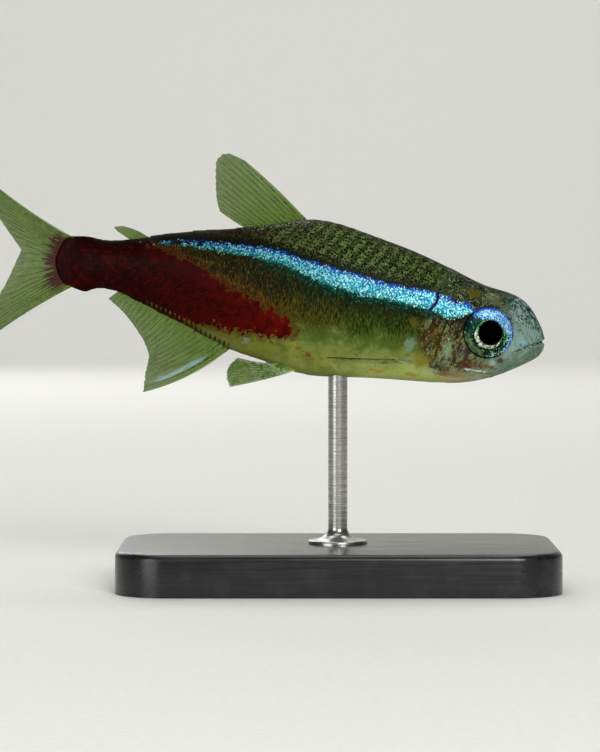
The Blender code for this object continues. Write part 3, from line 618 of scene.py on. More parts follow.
def round_eye(name, side, profile, finish, nodes):
    """A closed form turned about the eye's axis, from (radius, outward) places."""
    centre, ahead, up, out = eye_axes(side)
    steps = 120
    turns = np.linspace(0, 2 * math.pi, steps, endpoint=False)
    rings, dials = [], []
    for r, z in profile:
        x, y = r * np.cos(turns), r * np.sin(turns)
        slip = PUPIL_FORWARD * ease(r, EYE_RADIUS, PUPIL_RADIUS)
        rings.append(centre + (x[:, None] + slip) * ahead + y[:, None] * up + z * out)
        dials.append(np.stack([x, y, np.full(steps, r)], axis=1))
    points, dials = np.concatenate(rings), np.concatenate(dials)
    faces = grid_faces(len(profile), steps)
    if side > 0:
        faces = [face[::-1] for face in faces]
    faces += [list(range(steps))[::side], list(range(len(points) - steps, len(points)))[::-side]]
    return piece(name, points, faces, finish, nodes, {"dial": dials}, sharp=60)


# Fins

def bowed(first, last):
    """The course of rays that bow to one side by a share of their length, from the first ray's
    share to the last's."""
    def course(foot, tip, u, v):
        run = tip - foot
        across = np.stack([-run[..., 1], run[..., 0], 0 * run[..., 0]], axis=-1) * (first + (last - first) * u)
        return foot + run * v + across * 4 * v * (1 - v)
    return course


def swept(lead):
    """The course of rays that leave the skin square to it and then sweep back."""
    def course(foot, tip, u, v):
        return foot * (1 - v) ** 2 + (foot + np.array(lead)) * 2 * v * (1 - v) + tip * v ** 2
    return course


def blade(root, margin, course):
    """A function from u (ray) and v (length) to points of the fin's middle surface. root and
    margin are lines of (station, height, side)."""
    root, margin = along(root), along(margin)

    def at(u, v):
        found = course(root(u), margin(u), u[..., None], v[..., None])
        return np.stack([-found[..., 0], found[..., 2], found[..., 1]], axis=-1)
    return at


def membrane(at, rays, half, ruffle):
    """A thin closed sheet over the fin, cut a little shorter between the rays."""
    columns, rows = (rays - 1) * 6 + 1, 36
    u, v = np.meshgrid(np.linspace(0, 1, columns), np.linspace(0, 1, rows))
    between = np.abs(np.sin(u * (rays - 1) * math.pi))
    ragged = np.interp(u[0], np.linspace(0, 1, rays * 2), rng.uniform(0, 1, rays * 2))
    v = v * (1 - 0.008 * between - 0.012 * ragged)
    grid = at(u, v)
    normal = np.cross(np.gradient(grid, axis=1), np.gradient(grid, axis=0))
    normal /= np.linalg.norm(normal, axis=2, keepdims=True) + 1e-12
    grid = grid + normal * (ruffle * np.sin(u * (rays - 1) * math.pi * 2) * v)[..., None]
    thick = normal * half
    count = rows * columns
    points = np.concatenate([(grid + thick).reshape(-1, 3), (grid - thick).reshape(-1, 3)])
    data = np.stack([u, v, np.zeros_like(u)], axis=-1).reshape(-1, 3)
    faces = []
    for j in range(rows - 1):
        for i in range(columns - 1):
            a = j * columns + i
            quad = [a, a + 1, a + columns + 1, a + columns]
            faces += [quad, [count + k for k in quad[::-1]]]
    rim = [*range(columns), *range(2 * columns - 1, count, columns),
           *range(count - 2, count - columns - 1, -1), *range(count - 2 * columns, 0, -columns)]
    faces += [[a, a + count, b + count, b] for a, b in zip(rim, rim[1:] + rim[:1])]
    return points, faces, np.concatenate([data, data])


def ray_tube(at, u, v, radius):
    """A tube along the fin's surface, with points u and v and a radius at each."""
    sides = 6
    path = at(u, v)
    e = 0.004
    across = at(np.clip(u + e, 0, 1), v) - at(np.clip(u - e, 0, 1), v)
    run = np.gradient(path, axis=0)
    run /= np.linalg.norm(run, axis=1, keepdims=True)
    normal = np.cross(run, across)
    normal /= np.linalg.norm(normal, axis=1, keepdims=True) + 1e-12
    beside = np.cross(normal, run)
    turns = np.linspace(0, 2 * math.pi, sides, endpoint=False)
    ring = (normal[:, None] * 1.25 * np.cos(turns)[:, None] + beside[:, None] * np.sin(turns)[:, None])
    points = path[:, None] + ring * radius[:, None, None]
    faces = grid_faces(len(path), sides)
    faces += [list(range(sides))[::-1], list(range((len(path) - 1) * sides, len(path) * sides))]
    data = np.stack([np.repeat(u, sides), np.repeat(v, sides), np.ones(len(u) * sides)], axis=1)
    return points.reshape(-1, 3), faces, data


def rays_of(at, rays, plain_rays, base_radius, length):
    """The rays of a fin as joined tubes. A branched ray forks twice; the plain ones at the leading
    edge don't, and are stouter. Each has the fine rings of its joints."""
    parts = []
    spacing = 1 / (rays - 1)
    joint = 0.16 / length

    def tube(line, v0, v1, r0):
        v = np.arange(v0, v1, joint / 2)
        rings = 1 + 0.13 * (np.arange(len(v)) % 2)
        u = np.clip(line(v), 0, 1)
        parts.append(ray_tube(at, u, v, r0 * (1 - 0.72 * v) * rings))

    for k in range(rays):
        u0 = k * spacing
        if k < plain_rays:
            tube(lambda v: u0 + 0 * v, 0, 0.985, base_radius * 1.7)
            continue
        fork = 0.42 + rng.uniform(-0.05, 0.05)
        tube(lambda v: u0 + 0 * v, 0, fork + 0.02, base_radius)
        again = fork + 0.30 + rng.uniform(-0.05, 0.05)
        for side in (-1, 1):
            def first(v):
                return u0 + side * spacing * 0.26 * ease(v, fork, 1.1)
            tube(first, fork, again + 0.01, base_radius * 0.85)
            for twig in (-1, 1):
                tube(lambda v: first(v) + twig * spacing * 0.12 * ease(v, again, 1.05), again, 0.975,
                     base_radius * 0.75)
    return parts


def joined(parts):
    """Several (points, faces, values) meshes as one."""
    points, faces, data, base = [], [], [], 0
    for part_points, part_faces, part_data in parts:
        points.append(part_points)
        faces += [[i + base for i in face] for face in part_faces]
        data.append(part_data)
        base += len(part_points)
    return np.vstack(points), faces, np.vstack(data)


def fin(name, at, rays, plain_rays, nodes, finishes, base_radius=0.030, length=5.0, ruffle=0.02):
    """A fin's membrane and its rays, as two pieces. The membrane stands for the solid."""
    sheet_finish, ray_finish = finishes
    points, faces, data = membrane(at, rays, 0.014, ruffle)
    sheet = piece(name + "_membrane", points, faces, sheet_finish, nodes,
                  {"blade": data, "place": points * [-1, 1, 1]})
    if plain_rays < 0:
        return sheet
    points, faces, data = joined(rays_of(at, rays, plain_rays, base_radius, length))
    return piece(name + "_rays", points, faces, ray_finish, (),
                 {"blade": data, "place": points * [-1, 1, 1]})


def on_outline(stations, line, sunk):
    """A median fin's root along the back or the belly, sunk into the flesh."""
    return [(s, float(line(s / STANDARD_LENGTH)) * STANDARD_LENGTH + sunk, 0) for s in stations]


def on_skin(places, side):
    """A paired fin's root on the skin, from (station, angle from the top) places."""
    line = []
    for station, angle in places:
        place = surface(np.array(station), np.array(side * angle))
        normal = outward(np.array(station), np.array(side * angle))
        x, y, z = place - normal * 0.12
        line.append((-x, z, y))
    return line


def tail_blade():
    """Both lobes of the tail fin as one surface, which meet at the fork."""
    run = np.gradient(FLESH_LINE, axis=0)
    run /= np.linalg.norm(run, axis=1, keepdims=True)
    root = FLESH_LINE - 0.15 * np.stack([run[:, 1], -run[:, 0]], axis=1)

    def feet(heights):
        return [(np.interp(h, root[:, 1], root[:, 0]), h, 0) for h in heights]

    fork = (30.4, 0.36, 0)
    upper = blade(feet(np.linspace(1.50, 0.15, 7)),
                  [(34.5, 5.0, 0), (33.9, 4.1, 0), (32.9, 2.9, 0), (31.8, 1.75, 0), fork], bowed(-0.03, 0.0))
    lower = blade(feet(np.linspace(0.15, -1.22, 7)),
                  [fork, (31.0, -1.7, 0), (31.8, -3.7, 0), (32.5, -5.4, 0), (32.9, -6.6, 0)], bowed(0.0, 0.03))

    def at(u, v):
        return np.where((u < 0.5)[..., None], upper(np.clip(2 * u, 0, 1), v), lower(np.clip(2 * u - 1, 0, 1), v))
    return at


def fins():
    rays = fin_ray("fin_ray", "64761a", "101a05", 0.92, 0.008, "a6bc8c")
    middle = fin_membrane("fin_membrane", "526e06", 0.82, 0.62), rays
    banded = fin_membrane("banded_membrane", "526e06", 0.82, 0.64, 0.75), rays
    clear = (fin_membrane("clear_membrane", "7c8450", 0.02, 0.0),
             fin_ray("clear_ray", "6d7448", "1e201a", 0.12, 0.0, "1a1d12"))
    flecked = (fin_membrane("flecked_membrane", "527208", 0.64, 0.48),
               fin_ray("flecked_ray", "b0c860", "3c5c10", 0.92, 0.46, "c4d8c0"))
    dorsal = blade(on_outline((14.3, 15.4, 16.6, 17.6), back, -0.15),
                   [(18.5, 7.50, 0), (19.5, 7.74, 0), (20.05, 7.3, 0), (20.0, 6.5, 0), (19.85, 5.7, 0),
                    (19.68, 5.0, 0), (19.4, 4.4, 0)], bowed(0.02, -0.02))
    anal = blade(on_outline((17.5, 19.2, 21.0, 22.8, 24.3), belly, 0.15),
                 [(22.1, -6.55, 0), (22.15, -5.45, 0), (22.1, -4.5, 0), (22.45, -3.75, 0), (23.1, -3.0, 0),
                  (23.9, -2.25, 0), (24.9, -1.6, 0)], bowed(-0.06, 0.02))
    adipose = blade(on_outline((23.1, 23.6, 24.1), back, -0.12),
                    [(24.8, 2.66, 0), (25.25, 2.53, 0), (25.0, 2.30, 0)], bowed(0.06, 0.0))
    fin("caudal_fin", tail_blade(), 27, 1, ("caudal_fin_upper", "caudal_fin_lower"), middle, 0.022, 5.5)
    fin("dorsal_fin", dorsal, 14, 2, ("dorsal_fin",), middle, 0.021, 4.0)
    fin("anal_fin", anal, 24, 2, ("anal_fin",), banded, 0.021, 3.5)
    fin("adipose_fin", adipose, 7, -1, ("adipose_fin",), middle, ruffle=0.0)
    for side, name in ((1, "left"), (-1, "right")):
        pectoral = blade(on_skin([(8.10, 2.30), (7.85, 2.34), (7.60, 2.38)], side),
                         [(s, h, side * y) for s, h, y in
                          [(11.9, -2.72, 3.7), (12.3, -2.78, 3.2), (12.2, -2.83, 2.75), (11.6, -2.86, 2.35),
                           (10.8, -2.88, 2.1)]], swept((0.6, -0.1, side * 0.75)))
        pelvic = blade(on_skin([(13.6, 2.93), (14.0, 2.86), (14.45, 2.78)], side),
                       [(s, h, side * y) for s, h, y in
                        [(17.25, -5.40, 1.15), (17.5, -4.90, 1.4), (17.5, -4.30, 1.6), (17.1, -3.75, 1.75)]],
                       swept((0.6, -0.5, side * 0.2)))
        fin("pectoral_fin_" + name, pectoral, 10, 1, ("pectoral_fin_" + name,), clear, 0.014, 4.5)
        fin("pelvic_fin_" + name, pelvic, 11, 1, ("pelvic_fin_" + name,), flecked, 0.019, 3.5)


# Finishes

def linear(colour):
    """An sRGB hex colour as linear RGBA."""
    values = [int(colour[k:k + 2], 16) / 255 for k in (0, 2, 4)]
    return (*[v / 12.92 if v <= 0.04045 else ((v + 0.055) / 1.055) ** 2.4 for v in values], 1.0)


def finish_of(name):
    """A new material, its shader, and the function that adds a node to it: settings are the node's
    properties, and inputs its values or links by name or number."""
    material = bpy.data.materials.new(name)
    material.use_nodes = True
    tree = material.node_tree
    shader = tree.nodes["Principled BSDF"]

    def add(kind, inputs, out=0, stops=None, into=None, **settings):
        node = into or tree.nodes.new("ShaderNode" + kind)
        for title, value in settings.items():
            setattr(node, title, value)
        if stops:
            ramp = node.color_ramp
            while len(ramp.elements) < len(stops):
                ramp.elements.new(1.0)
            for element, (position, colour) in zip(ramp.elements, stops):
                element.position = position
                element.color = linear(colour) if isinstance(colour, str) else (colour,) * 3 + (1,)
        for title, value in inputs.items():
            if isinstance(value, bpy.types.NodeSocket):
                tree.links.new(value, node.inputs[title])
            else:
                node.inputs[title].default_value = value
        return node.outputs[out]

    return material, shader, add


def painted(add, under, over, *limits, strength=1.0, blend="MIX"):
    """Lays a colour over another where every limit holds: a field, the value at which it starts to
    hold and the one from which it holds in full. Gives the colour and the share that was laid."""
    share = strength
    for field, start, full in limits:
        share = add("MapRange", {0: field, 1: start, 2: full, 3: 0.0, 4: share}, interpolation_type="SMOOTHSTEP")
    return add("Mix", {0: share, 6: under, 7: over}, out=2, data_type="RGBA", blend_type=blend), share


def fish_skin(name):
    """Skin of a small fish, wet and thin. Guanine crystals in it mirror blue and green along the
    stripe, pigment cells of 0.05 to 0.1 mm darken the back, and the belly is half clear."""
    material, shader, add = finish_of(name)
    place = add("Attribute", {}, out="Vector", attribute_name="place")
    station, _, height = add("SeparateXYZ", {0: place}).node.outputs
    zones = add("Attribute", {}, "Vector", attribute_name="zones")
    over, under, rise = add("SeparateXYZ", {0: zones}).node.outputs
    marks = add("Attribute", {}, "Vector", attribute_name="marks")
    gill, red, rim = add("SeparateXYZ", {0: marks}).node.outputs
    face = add("Attribute", {}, "Vector", attribute_name="face")
    mouth, orbit, from_ridge = add("SeparateXYZ", {0: face}).node.outputs
    unrolled = add("CombineXYZ", {0: station, 1: from_ridge})

    # Patterns: clouds, translucent mottling, grain, single crystals and pigment cells, and upright
    # streaks. Their scales are one over their size in millimetres, or that size where stretched.
    cloud = add("TexNoise", {"Vector": place, "Scale": 1 / 1.3, "Detail": 3.0})
    mottle = add("TexNoise", {"Vector": place, "Scale": 1 / 0.55, "Detail": 4.0, "Distortion": 0.6})
    grain = add("TexNoise", {"Vector": place, "Scale": 1 / 0.13, "Detail": 3.0})
    crystal = add("TexVoronoi", {"Vector": unrolled, "Scale": 1 / 0.070}, "Color", voronoi_dimensions="2D")
    chance, tint, other = add("SeparateXYZ", {0: crystal}).node.outputs
    cells = add("TexVoronoi", {"Vector": unrolled, "Scale": 1 / 0.155, "Randomness": 0.90},
                voronoi_dimensions="2D").node.outputs
    present, varied, brown = add("SeparateXYZ", {0: cells["Color"]}).node.outputs
    upright = add("Mapping", {"Vector": place, "Rotation": (0.0, 0.12, 0.0), "Scale": (0.06, 0.20, 0.24)},
                  vector_type="TEXTURE")
    streak = add("TexNoise", {"Vector": upright, "Scale": 1.0, "Detail": 2.5, "Roughness": 0.6})
    worn = add("TexNoise", {"Vector": place, "Scale": 1 / 0.42, "Detail": 1.5, "Distortion": 1.2})
    contour = add("Math", {0: worn, 1: 0.5}, operation="SUBTRACT")
    contour = add("Math", {0: contour}, operation="ABSOLUTE")
    leather = add("TexNoise", {"Vector": place, "Scale": 1 / 0.17, "Detail": 1.0, "Distortion": 1.0})
    leather = add("Math", {0: leather, 1: 0.5}, operation="SUBTRACT")
    leather = add("Math", {0: leather}, operation="ABSOLUTE")

    # Ground colours from belly to back, ahead of the dorsal fin and behind it
    wander = add("Math", {0: cloud, 1: 0.16, 2: -0.10}, operation="MULTIPLY_ADD")
    wander = add("Math", {0: grain, 1: 0.05, 2: wander}, operation="MULTIPLY_ADD")
    level = add("Math", {0: rise, 1: wander}, operation="ADD")
    front = add("ValToRGB", {0: level}, stops=[
        (0.0, "b2be70"), (0.08, "a9b864"), (0.16, "828e48"), (0.26, "4f6022"), (0.36, "384812"),
        (0.45, "28340e"), (0.54, "1d250b"), (0.64, "222c10"), (0.72, "36451c"), (0.86, "3a4a1c"),
        (0.96, "36461a"), (1.0, "263018")])
    rear = add("ValToRGB", {0: level}, stops=[
        (0.0, "5c5620"), (0.10, "463c10"), (0.20, "352608"), (0.35, "322205"), (0.50, "281b05"),
        (0.62, "1e1806"), (0.75, "211d08"), (0.90, "1f1c08"), (1.0, "141308")])
    aft = add("Math", {0: cloud, 1: 3.0, 2: station}, operation="MULTIPLY_ADD")
    colour, _ = painted(add, front, rear, (aft, 14.2, 19.5))
    colour, _ = painted(add, colour, linear("666e2a"), (level, 0.26, 0.12), (aft, 10.8, 13.5), (aft, 21.5, 18.5),
                        strength=0.80)
    colour, _ = painted(add, colour, linear("3a2206"), (level, 0.30, 0.15), (station, 18.0, 20.2), strength=0.7)
    colour, _ = painted(add, colour, linear("453408"), (level, 0.52, 0.40), (level, 0.24, 0.34), (aft, 12.0, 15.0),
                        strength=0.55)
    colour, _ = painted(add, colour, linear("5a400c"), (mottle, 0.42, 0.60), (red, -1.2, -0.35), (level, 0.20, 0.28),
                        (under, 0.40, 0.75), (station, 14.0, 15.2), strength=0.60)

    # Fine upright streaks and specks of pigment in the dark middle of the flank
    flank = (level, 0.22, 0.40), (over, 0.05, -0.30)
    colour, _ = painted(add, colour, linear("070903"), (streak, 0.48, 0.62), *flank, strength=0.85)
    colour, _ = painted(add, colour, linear("5c6228"), (streak, 0.44, 0.30), *flank, strength=0.60)
    colour, _ = painted(add, colour, linear("0c0e05"), (cells["Distance"], 0.30, 0.12), (present, 0.55, 0.65), *flank,
                        strength=0.55)

    # Back: leathery pale worms, olive-brown bands that lean with the rows of scales, and round black
    # pigment cells of several sizes, crowded above the stripe
    on_back = (over, 0.02, 0.40)
    colour, _ = painted(add, colour, linear("6f8150"), (leather, 0.022, 0.070), (cells["Distance"], 0.25, 0.45),
                        on_back, (aft, 20.5, 16.5), strength=0.62)
    colour, _ = painted(add, colour, linear("3c3412"), (leather, 0.035, 0.090), (cells["Distance"], 0.25, 0.45),
                        on_back, (aft, 16.5, 19.5), strength=0.30)
    leaned = add("Math", {0: height, 1: 0.67, 2: station}, operation="MULTIPLY_ADD")
    leaned = add("Math", {0: mottle, 1: 0.9, 2: leaned}, operation="MULTIPLY_ADD")
    leaned = add("Math", {0: leaned, 1: 2 * math.pi / BAND_SPACING}, operation="MULTIPLY")
    band = add("Math", {0: leaned}, operation="SINE")
    colour, _ = painted(add, colour, linear("242207"), (band, -0.25, 0.55), on_back, (aft, 22.0, 17.5), strength=0.72)
    edge = add("Math", {0: grain, 1: 0.50, 2: rim}, operation="MULTIPLY_ADD")
    edge = add("Math", {0: mottle, 1: 0.50, 2: edge}, operation="MULTIPLY_ADD")
    colour, _ = painted(add, colour, linear("2a2a08"), (edge, 0.92, 1.25), on_back, strength=0.30)
    colour, _ = painted(add, colour, linear("3c1206"), (brown, 0.60, 0.68), (grain, 0.42, 0.58),
                        (station, 14.5, 17.5), on_back, strength=0.65)
    crowd = add("MapRange", {0: over, 1: 0.05, 2: 0.85, 3: 0.50, 4: 0.0})
    crowd = add("Math", {0: present, 1: crowd}, operation="ADD")
    spread = add("Math", {0: varied, 1: 0.18, 2: cells["Distance"]}, operation="MULTIPLY_ADD")
    colour, _ = painted(add, colour, linear("020401"), (spread, 0.54, 0.40), (crowd, 0.30, 0.38),
                        on_back, strength=0.97)
    colour, _ = painted(add, colour, linear("060b05"), (over, 0.60, 0.14), (grain, 0.28, 0.44), (under, 0.1, -0.2),
                        (station, 6.2, 7.2), strength=0.88)
    colour, _ = painted(add, colour, linear("1d2212"), (rise, 0.965, 1.0), (grain, 0.35, 0.60), strength=0.7)
    colour, _ = painted(add, colour, linear("a9b29a"), (grain, 0.54, 0.62), (rise, 0.955, 0.985),
                        (station, 13.8, 14.4), (station, 18.4, 17.0), strength=0.75)

    # Clear, mottled lower flank with the hair-fine lines of the muscle and vessels in it
    low = level, 0.40, 0.22
    colour, _ = painted(add, colour, linear("a2aa64"), (mottle, 0.46, 0.85), low, (aft, 18.0, 14.0), strength=0.45)
    colour, _ = painted(add, colour, linear("46561c"), (mottle, 0.47, 0.34), low, (rise, 0.02, 0.12), strength=0.50)
    colour, _ = painted(add, colour, linear("3c4420"), (contour, 0.012, 0.003), low, (station, 7.0, 8.0), strength=0.35)

    # Head: its own ground, mottled brown, gold and silver on the cheek and gill cover
    ahead = add("Math", {0: mottle, 1: 1.2, 2: gill}, operation="MULTIPLY_ADD")
    skull = add("ValToRGB", {0: level}, stops=[
        (0.0, "b2a878"), (0.10, "a29c70"), (0.20, "7c7c56"), (0.32, "544f2c"), (0.45, "352d16"),
        (0.58, "1f2010"), (0.70, "262e18"), (0.85, "323e22"), (1.0, "222e1a")])
    colour, _ = painted(add, colour, skull, (ahead, 0.95, 0.40))
    leaning = add("Mapping", {"Vector": place, "Rotation": (0.0, -0.35, 0.0), "Scale": (0.26, 0.45, 0.66)},
                  vector_type="TEXTURE")
    flesh = add("TexNoise", {"Vector": leaning, "Scale": 1.0, "Detail": 3.0, "Roughness": 0.52})
    fleshy = add("ValToRGB", {0: flesh}, stops=[
        (0.34, "080603"), (0.42, "1e1405"), (0.47, "3a2e0a"), (0.52, "5a5a1c"), (0.57, "6c8262"),
        (0.62, "40341a"), (0.68, "42180c"), (0.78, "5c441a")])
    onto = add("Math", {0: cloud, 1: 1.6, 2: station}, operation="MULTIPLY_ADD")
    cheek = (ahead, 1.0, 0.55), (level, 0.64, 0.50), (level, 0.04, 0.15), (onto, 3.4, 4.6)
    colour, _ = painted(add, colour, fleshy, *cheek, strength=0.85)

    # Clear snout and lower jaw
    snout = add("Math", {0: cloud, 1: 1.2, 2: station}, operation="MULTIPLY_ADD")
    colour, _ = painted(add, colour, linear("769288"), (snout, 3.5, 2.3), strength=0.92)
    colour, _ = painted(add, colour, linear("627861"), (mouth, -0.02, -0.14), (station, 4.4, 2.2), strength=0.88)
    colour, _ = painted(add, colour, linear("8aa297"), (mottle, 0.48, 0.66), (snout, 3.6, 2.6), strength=0.5)
    colour, _ = painted(add, colour, linear("3f574a"), (mottle, 0.46, 0.34), (snout, 3.6, 2.6), strength=0.3)

    # Crown: pale winding lines and small dark cells on a dark ground, ink-dark blots on the snout
    crown = (level, 0.60, 0.74), (gill, 0.35, -0.1)
    colour, _ = painted(add, colour, linear("10160a"), (mottle, 0.44, 0.60), *crown, (station, 2.2, 3.4), strength=0.70)
    colour, _ = painted(add, colour, linear("0a0d08"), (spread, 0.50, 0.32), (present, 0.35, 0.45), *crown,
                        strength=0.85)
    colour, _ = painted(add, colour, linear("98a07c"), (contour, 0.022, 0.008), (grain, 0.38, 0.50), *crown,
                        (station, 2.0, 3.0), strength=0.65)
    ink = add("TexNoise", {"Vector": place, "Scale": 1 / 0.30, "Detail": 5.0, "Roughness": 0.68})
    colour, _ = painted(add, colour, linear("0c2a28"), (ink, 0.47, 0.56), (rise, 0.68, 0.90), (station, 3.0, 1.9),
                        strength=0.9)
    colour, _ = painted(add, colour, linear("0a1814"), (ink, 0.61, 0.65), (rise, 0.40, 0.66), (station, 2.2, 1.5),
                        strength=0.85)
    dots = (spread, 0.52, 0.34), (present, 0.50, 0.60)
    colour, _ = painted(add, colour, linear("18241a"), *dots, (mouth, -0.03, -0.12), (station, 1.1, 0.7),
                        strength=0.7)
    colour, _ = painted(add, colour, linear("18241a"), *dots, (station, 1.5, 0.9), (rise, 0.3, 0.4), strength=0.7)

    # Patches with a place of their own, their edges broken by the grain
    for at_station, at_height, long, high, shade, strength in PATCHES:
        x = add("Math", {0: station, 1: -at_station}, operation="ADD")
        z = add("Math", {0: height, 1: -at_height}, operation="ADD")
        reach = add("VectorMath", {0: add("CombineXYZ", {0: x, 2: z}), 1: (1 / long, 0, 1 / high)},
                    operation="MULTIPLY")
        far = add("VectorMath", {0: reach}, out="Value", operation="LENGTH")
        far = add("Math", {0: flesh, 1: 2.6, 2: far}, operation="MULTIPLY_ADD")
        far = add("Math", {0: grain, 1: 1.9, 2: far}, operation="MULTIPLY_ADD")
        colour, _ = painted(add, colour, linear(shade), (far, 3.6, 2.7), strength=strength)

    # Short silver and dark flecks on the cheek and gill cover
    thin = add("Mapping", {"Vector": place, "Rotation": (0.0, 0.9, 0.0), "Scale": (0.05, 0.12, 0.15)},
               vector_type="TEXTURE")
    fleck = add("TexNoise", {"Vector": thin, "Scale": 1.0, "Detail": 1.0})
    colour, _ = painted(add, colour, linear("120c07"), (fleck, 0.35, 0.28), *cheek, strength=0.7)
    colour, silver = painted(add, colour, linear("c9d8c0"), (fleck, 0.69, 0.74), *cheek, strength=0.8)

    # Red rear flank: red pigment cells over dark ones, ragged along its edges; deep and darker to the rear, partly
    # painted shade
    ragged = add("Math", {0: mottle, 1: 1.3, 2: red}, operation="MULTIPLY_ADD")
    ragged = add("Math", {0: worn, 1: 1.3, 2: ragged}, operation="MULTIPLY_ADD")
    ragged = add("Math", {0: streak, 1: 0.4, 2: ragged}, operation="MULTIPLY_ADD")
    ragged = add("Math", {0: grain, 1: 0.35, 2: ragged}, operation="MULTIPLY_ADD")
    colour, _ = painted(add, colour, linear("4a2606"), (ragged, 1.15, 1.60), strength=0.55)
    # Painted shade in part: the red darkens from front to rear as if the rear lay in dimmer light
    reds = add("ValToRGB", {0: add("MapRange", {0: aft, 1: 15.0, 2: 26.0})}, stops=[
        (0.0, "5c0702"), (0.30, "480402"), (0.65, "320201"), (1.0, "1c0101")])
    reds, _ = painted(add, reds, linear("1e0201"), (streak, 0.48, 0.70), (red, 0.1, 0.6), strength=0.50)
    reds, _ = painted(add, reds, linear("1e0201"), (mottle, 0.48, 0.64), strength=0.60)
    reds, _ = painted(add, reds, linear("440502"), (worn, 0.50, 0.68), (station, 19.5, 22.5), strength=0.50)
    slant = add("Mapping", {"Vector": place, "Rotation": (0.0, 0.75, 0.0), "Scale": (0.40, 0.50, 0.11)},
                vector_type="TEXTURE")
    dash = add("TexNoise", {"Vector": slant, "Scale": 1.0, "Detail": 1.5})
    reds, _ = painted(add, reds, linear("0e0101"), (dash, 0.52, 0.62), (red, 0.35, 0.9), (station, 16.5, 18.5),
                      (station, 28.5, 22.5), strength=0.80)
    reds, _ = painted(add, reds, linear("0e0502"), (rise, 0.78, 0.97), (station, 21.5, 23.0), strength=0.75)
    colour, _ = painted(add, colour, reds, (ragged, 1.58, 1.72))

    # Stripe: white and cyan mirrors, blue above and teal below, with a dark line over it
    shaky = add("Math", {0: chance, 1: 0.22, 2: -0.25}, operation="MULTIPLY_ADD")
    shaky = add("Math", {0: grain, 1: 0.28, 2: shaky}, operation="MULTIPLY_ADD")
    high = add("Math", {0: over, 1: shaky}, operation="ADD")
    low_edge = add("Math", {0: under, 1: shaky}, operation="ADD")
    dashes = add("TexNoise", {"Vector": place, "Scale": 1 / 0.34, "Detail": 1.0})
    ending = add("MapRange", {0: station, 1: 18.3, 2: STRIPE_ENDS, 3: 0.24, 4: 0.58})
    ending = add("Math", {0: dashes, 1: ending}, operation="SUBTRACT")
    seam = add("Math", {0: gill}, operation="ABSOLUTE")
    on_line = (station, 4.05, 4.25), (ending, 0.0, 0.05), (high, 0.02, -0.05)
    on_trunk = (station, 6.2, 6.5)
    sparse = add("MapRange", {0: low_edge, 1: 0.0, 2: 0.62, 3: 0.68, 4: -0.02})
    sparse = add("Math", {0: sparse, 1: other}, operation="SUBTRACT")
    colour, _ = painted(add, colour, linear("160f06"), (low_edge, 0.60, 0.1), (station, 6.5, 6.2), *on_line,
                        strength=0.7)
    colour, _ = painted(add, colour, linear("0b120a"), (low_edge, 0.75, 0.1), on_trunk, (station, 19.0, 15.5),
                        *on_line, strength=0.7)
    colour, _ = painted(add, colour, linear("06261e"), (low_edge, 0.62, 0.15), (grain, 0.36, 0.52), on_trunk,
                        (station, 17.0, 13.0), *on_line, strength=0.75)
    teal = add("ValToRGB", {0: tint}, stops=[(0.2, "053026"), (0.55, "0a4a3c"), (0.9, "187460")])
    colour, _ = painted(add, colour, teal, (sparse, 0.0, 0.02), (grain, 0.40, 0.52), on_trunk, (station, 17.5, 14.0),
                        *on_line)
    mirrors = add("ValToRGB", {0: tint}, stops=[
        (0.05, "1478a8"), (0.28, "2fa8c8"), (0.52, "6fdae6"), (0.80, "c0faff"), (1.0, "f0ffff")])
    mirrors, _ = painted(add, mirrors, linear("0a4c80"), (other, 0.26, 0.18), strength=0.85)
    mirrors, _ = painted(add, mirrors, linear("1a40c0"), (high, -0.32, -0.10), (tint, 0.80, 0.50), strength=0.9)
    mirrors, _ = painted(add, mirrors, linear("10189a"), (high, -0.16, -0.03), (other, 0.75, 0.55), strength=0.95)
    mirrors, _ = painted(add, mirrors, linear("0e7e68"), (low_edge, -0.26, -0.04), (tint, 0.9, 0.5), strength=0.9)
    # Painted shade: the mirrors dim towards the tail, where the rear lies in dimmer light
    dim = add("MapRange", {0: station, 1: 8.0, 2: 22.0, 3: 0.78, 4: 0.34})
    mirrors = add("VectorMath", {0: mirrors, "Scale": dim}, operation="SCALE")
    mirrors = add("VectorMath", {0: mirrors, 1: (0.72, 0.98, 0.96)}, operation="MULTIPLY")
    colour, on_stripe = painted(add, colour, mirrors, (low_edge, 0.02, -0.02), *on_line)
    near_seam = (over, 0.15, 0.0), (under, 0.15, 0.0)
    colour, _ = painted(add, colour, linear("1230a0"), (seam, 0.22, 0.10), (tint, 0.75, 0.45), *near_seam, strength=0.85)
    colour, _ = painted(add, colour, linear("061238"), (seam, 0.11, 0.06), *near_seam, strength=0.95)
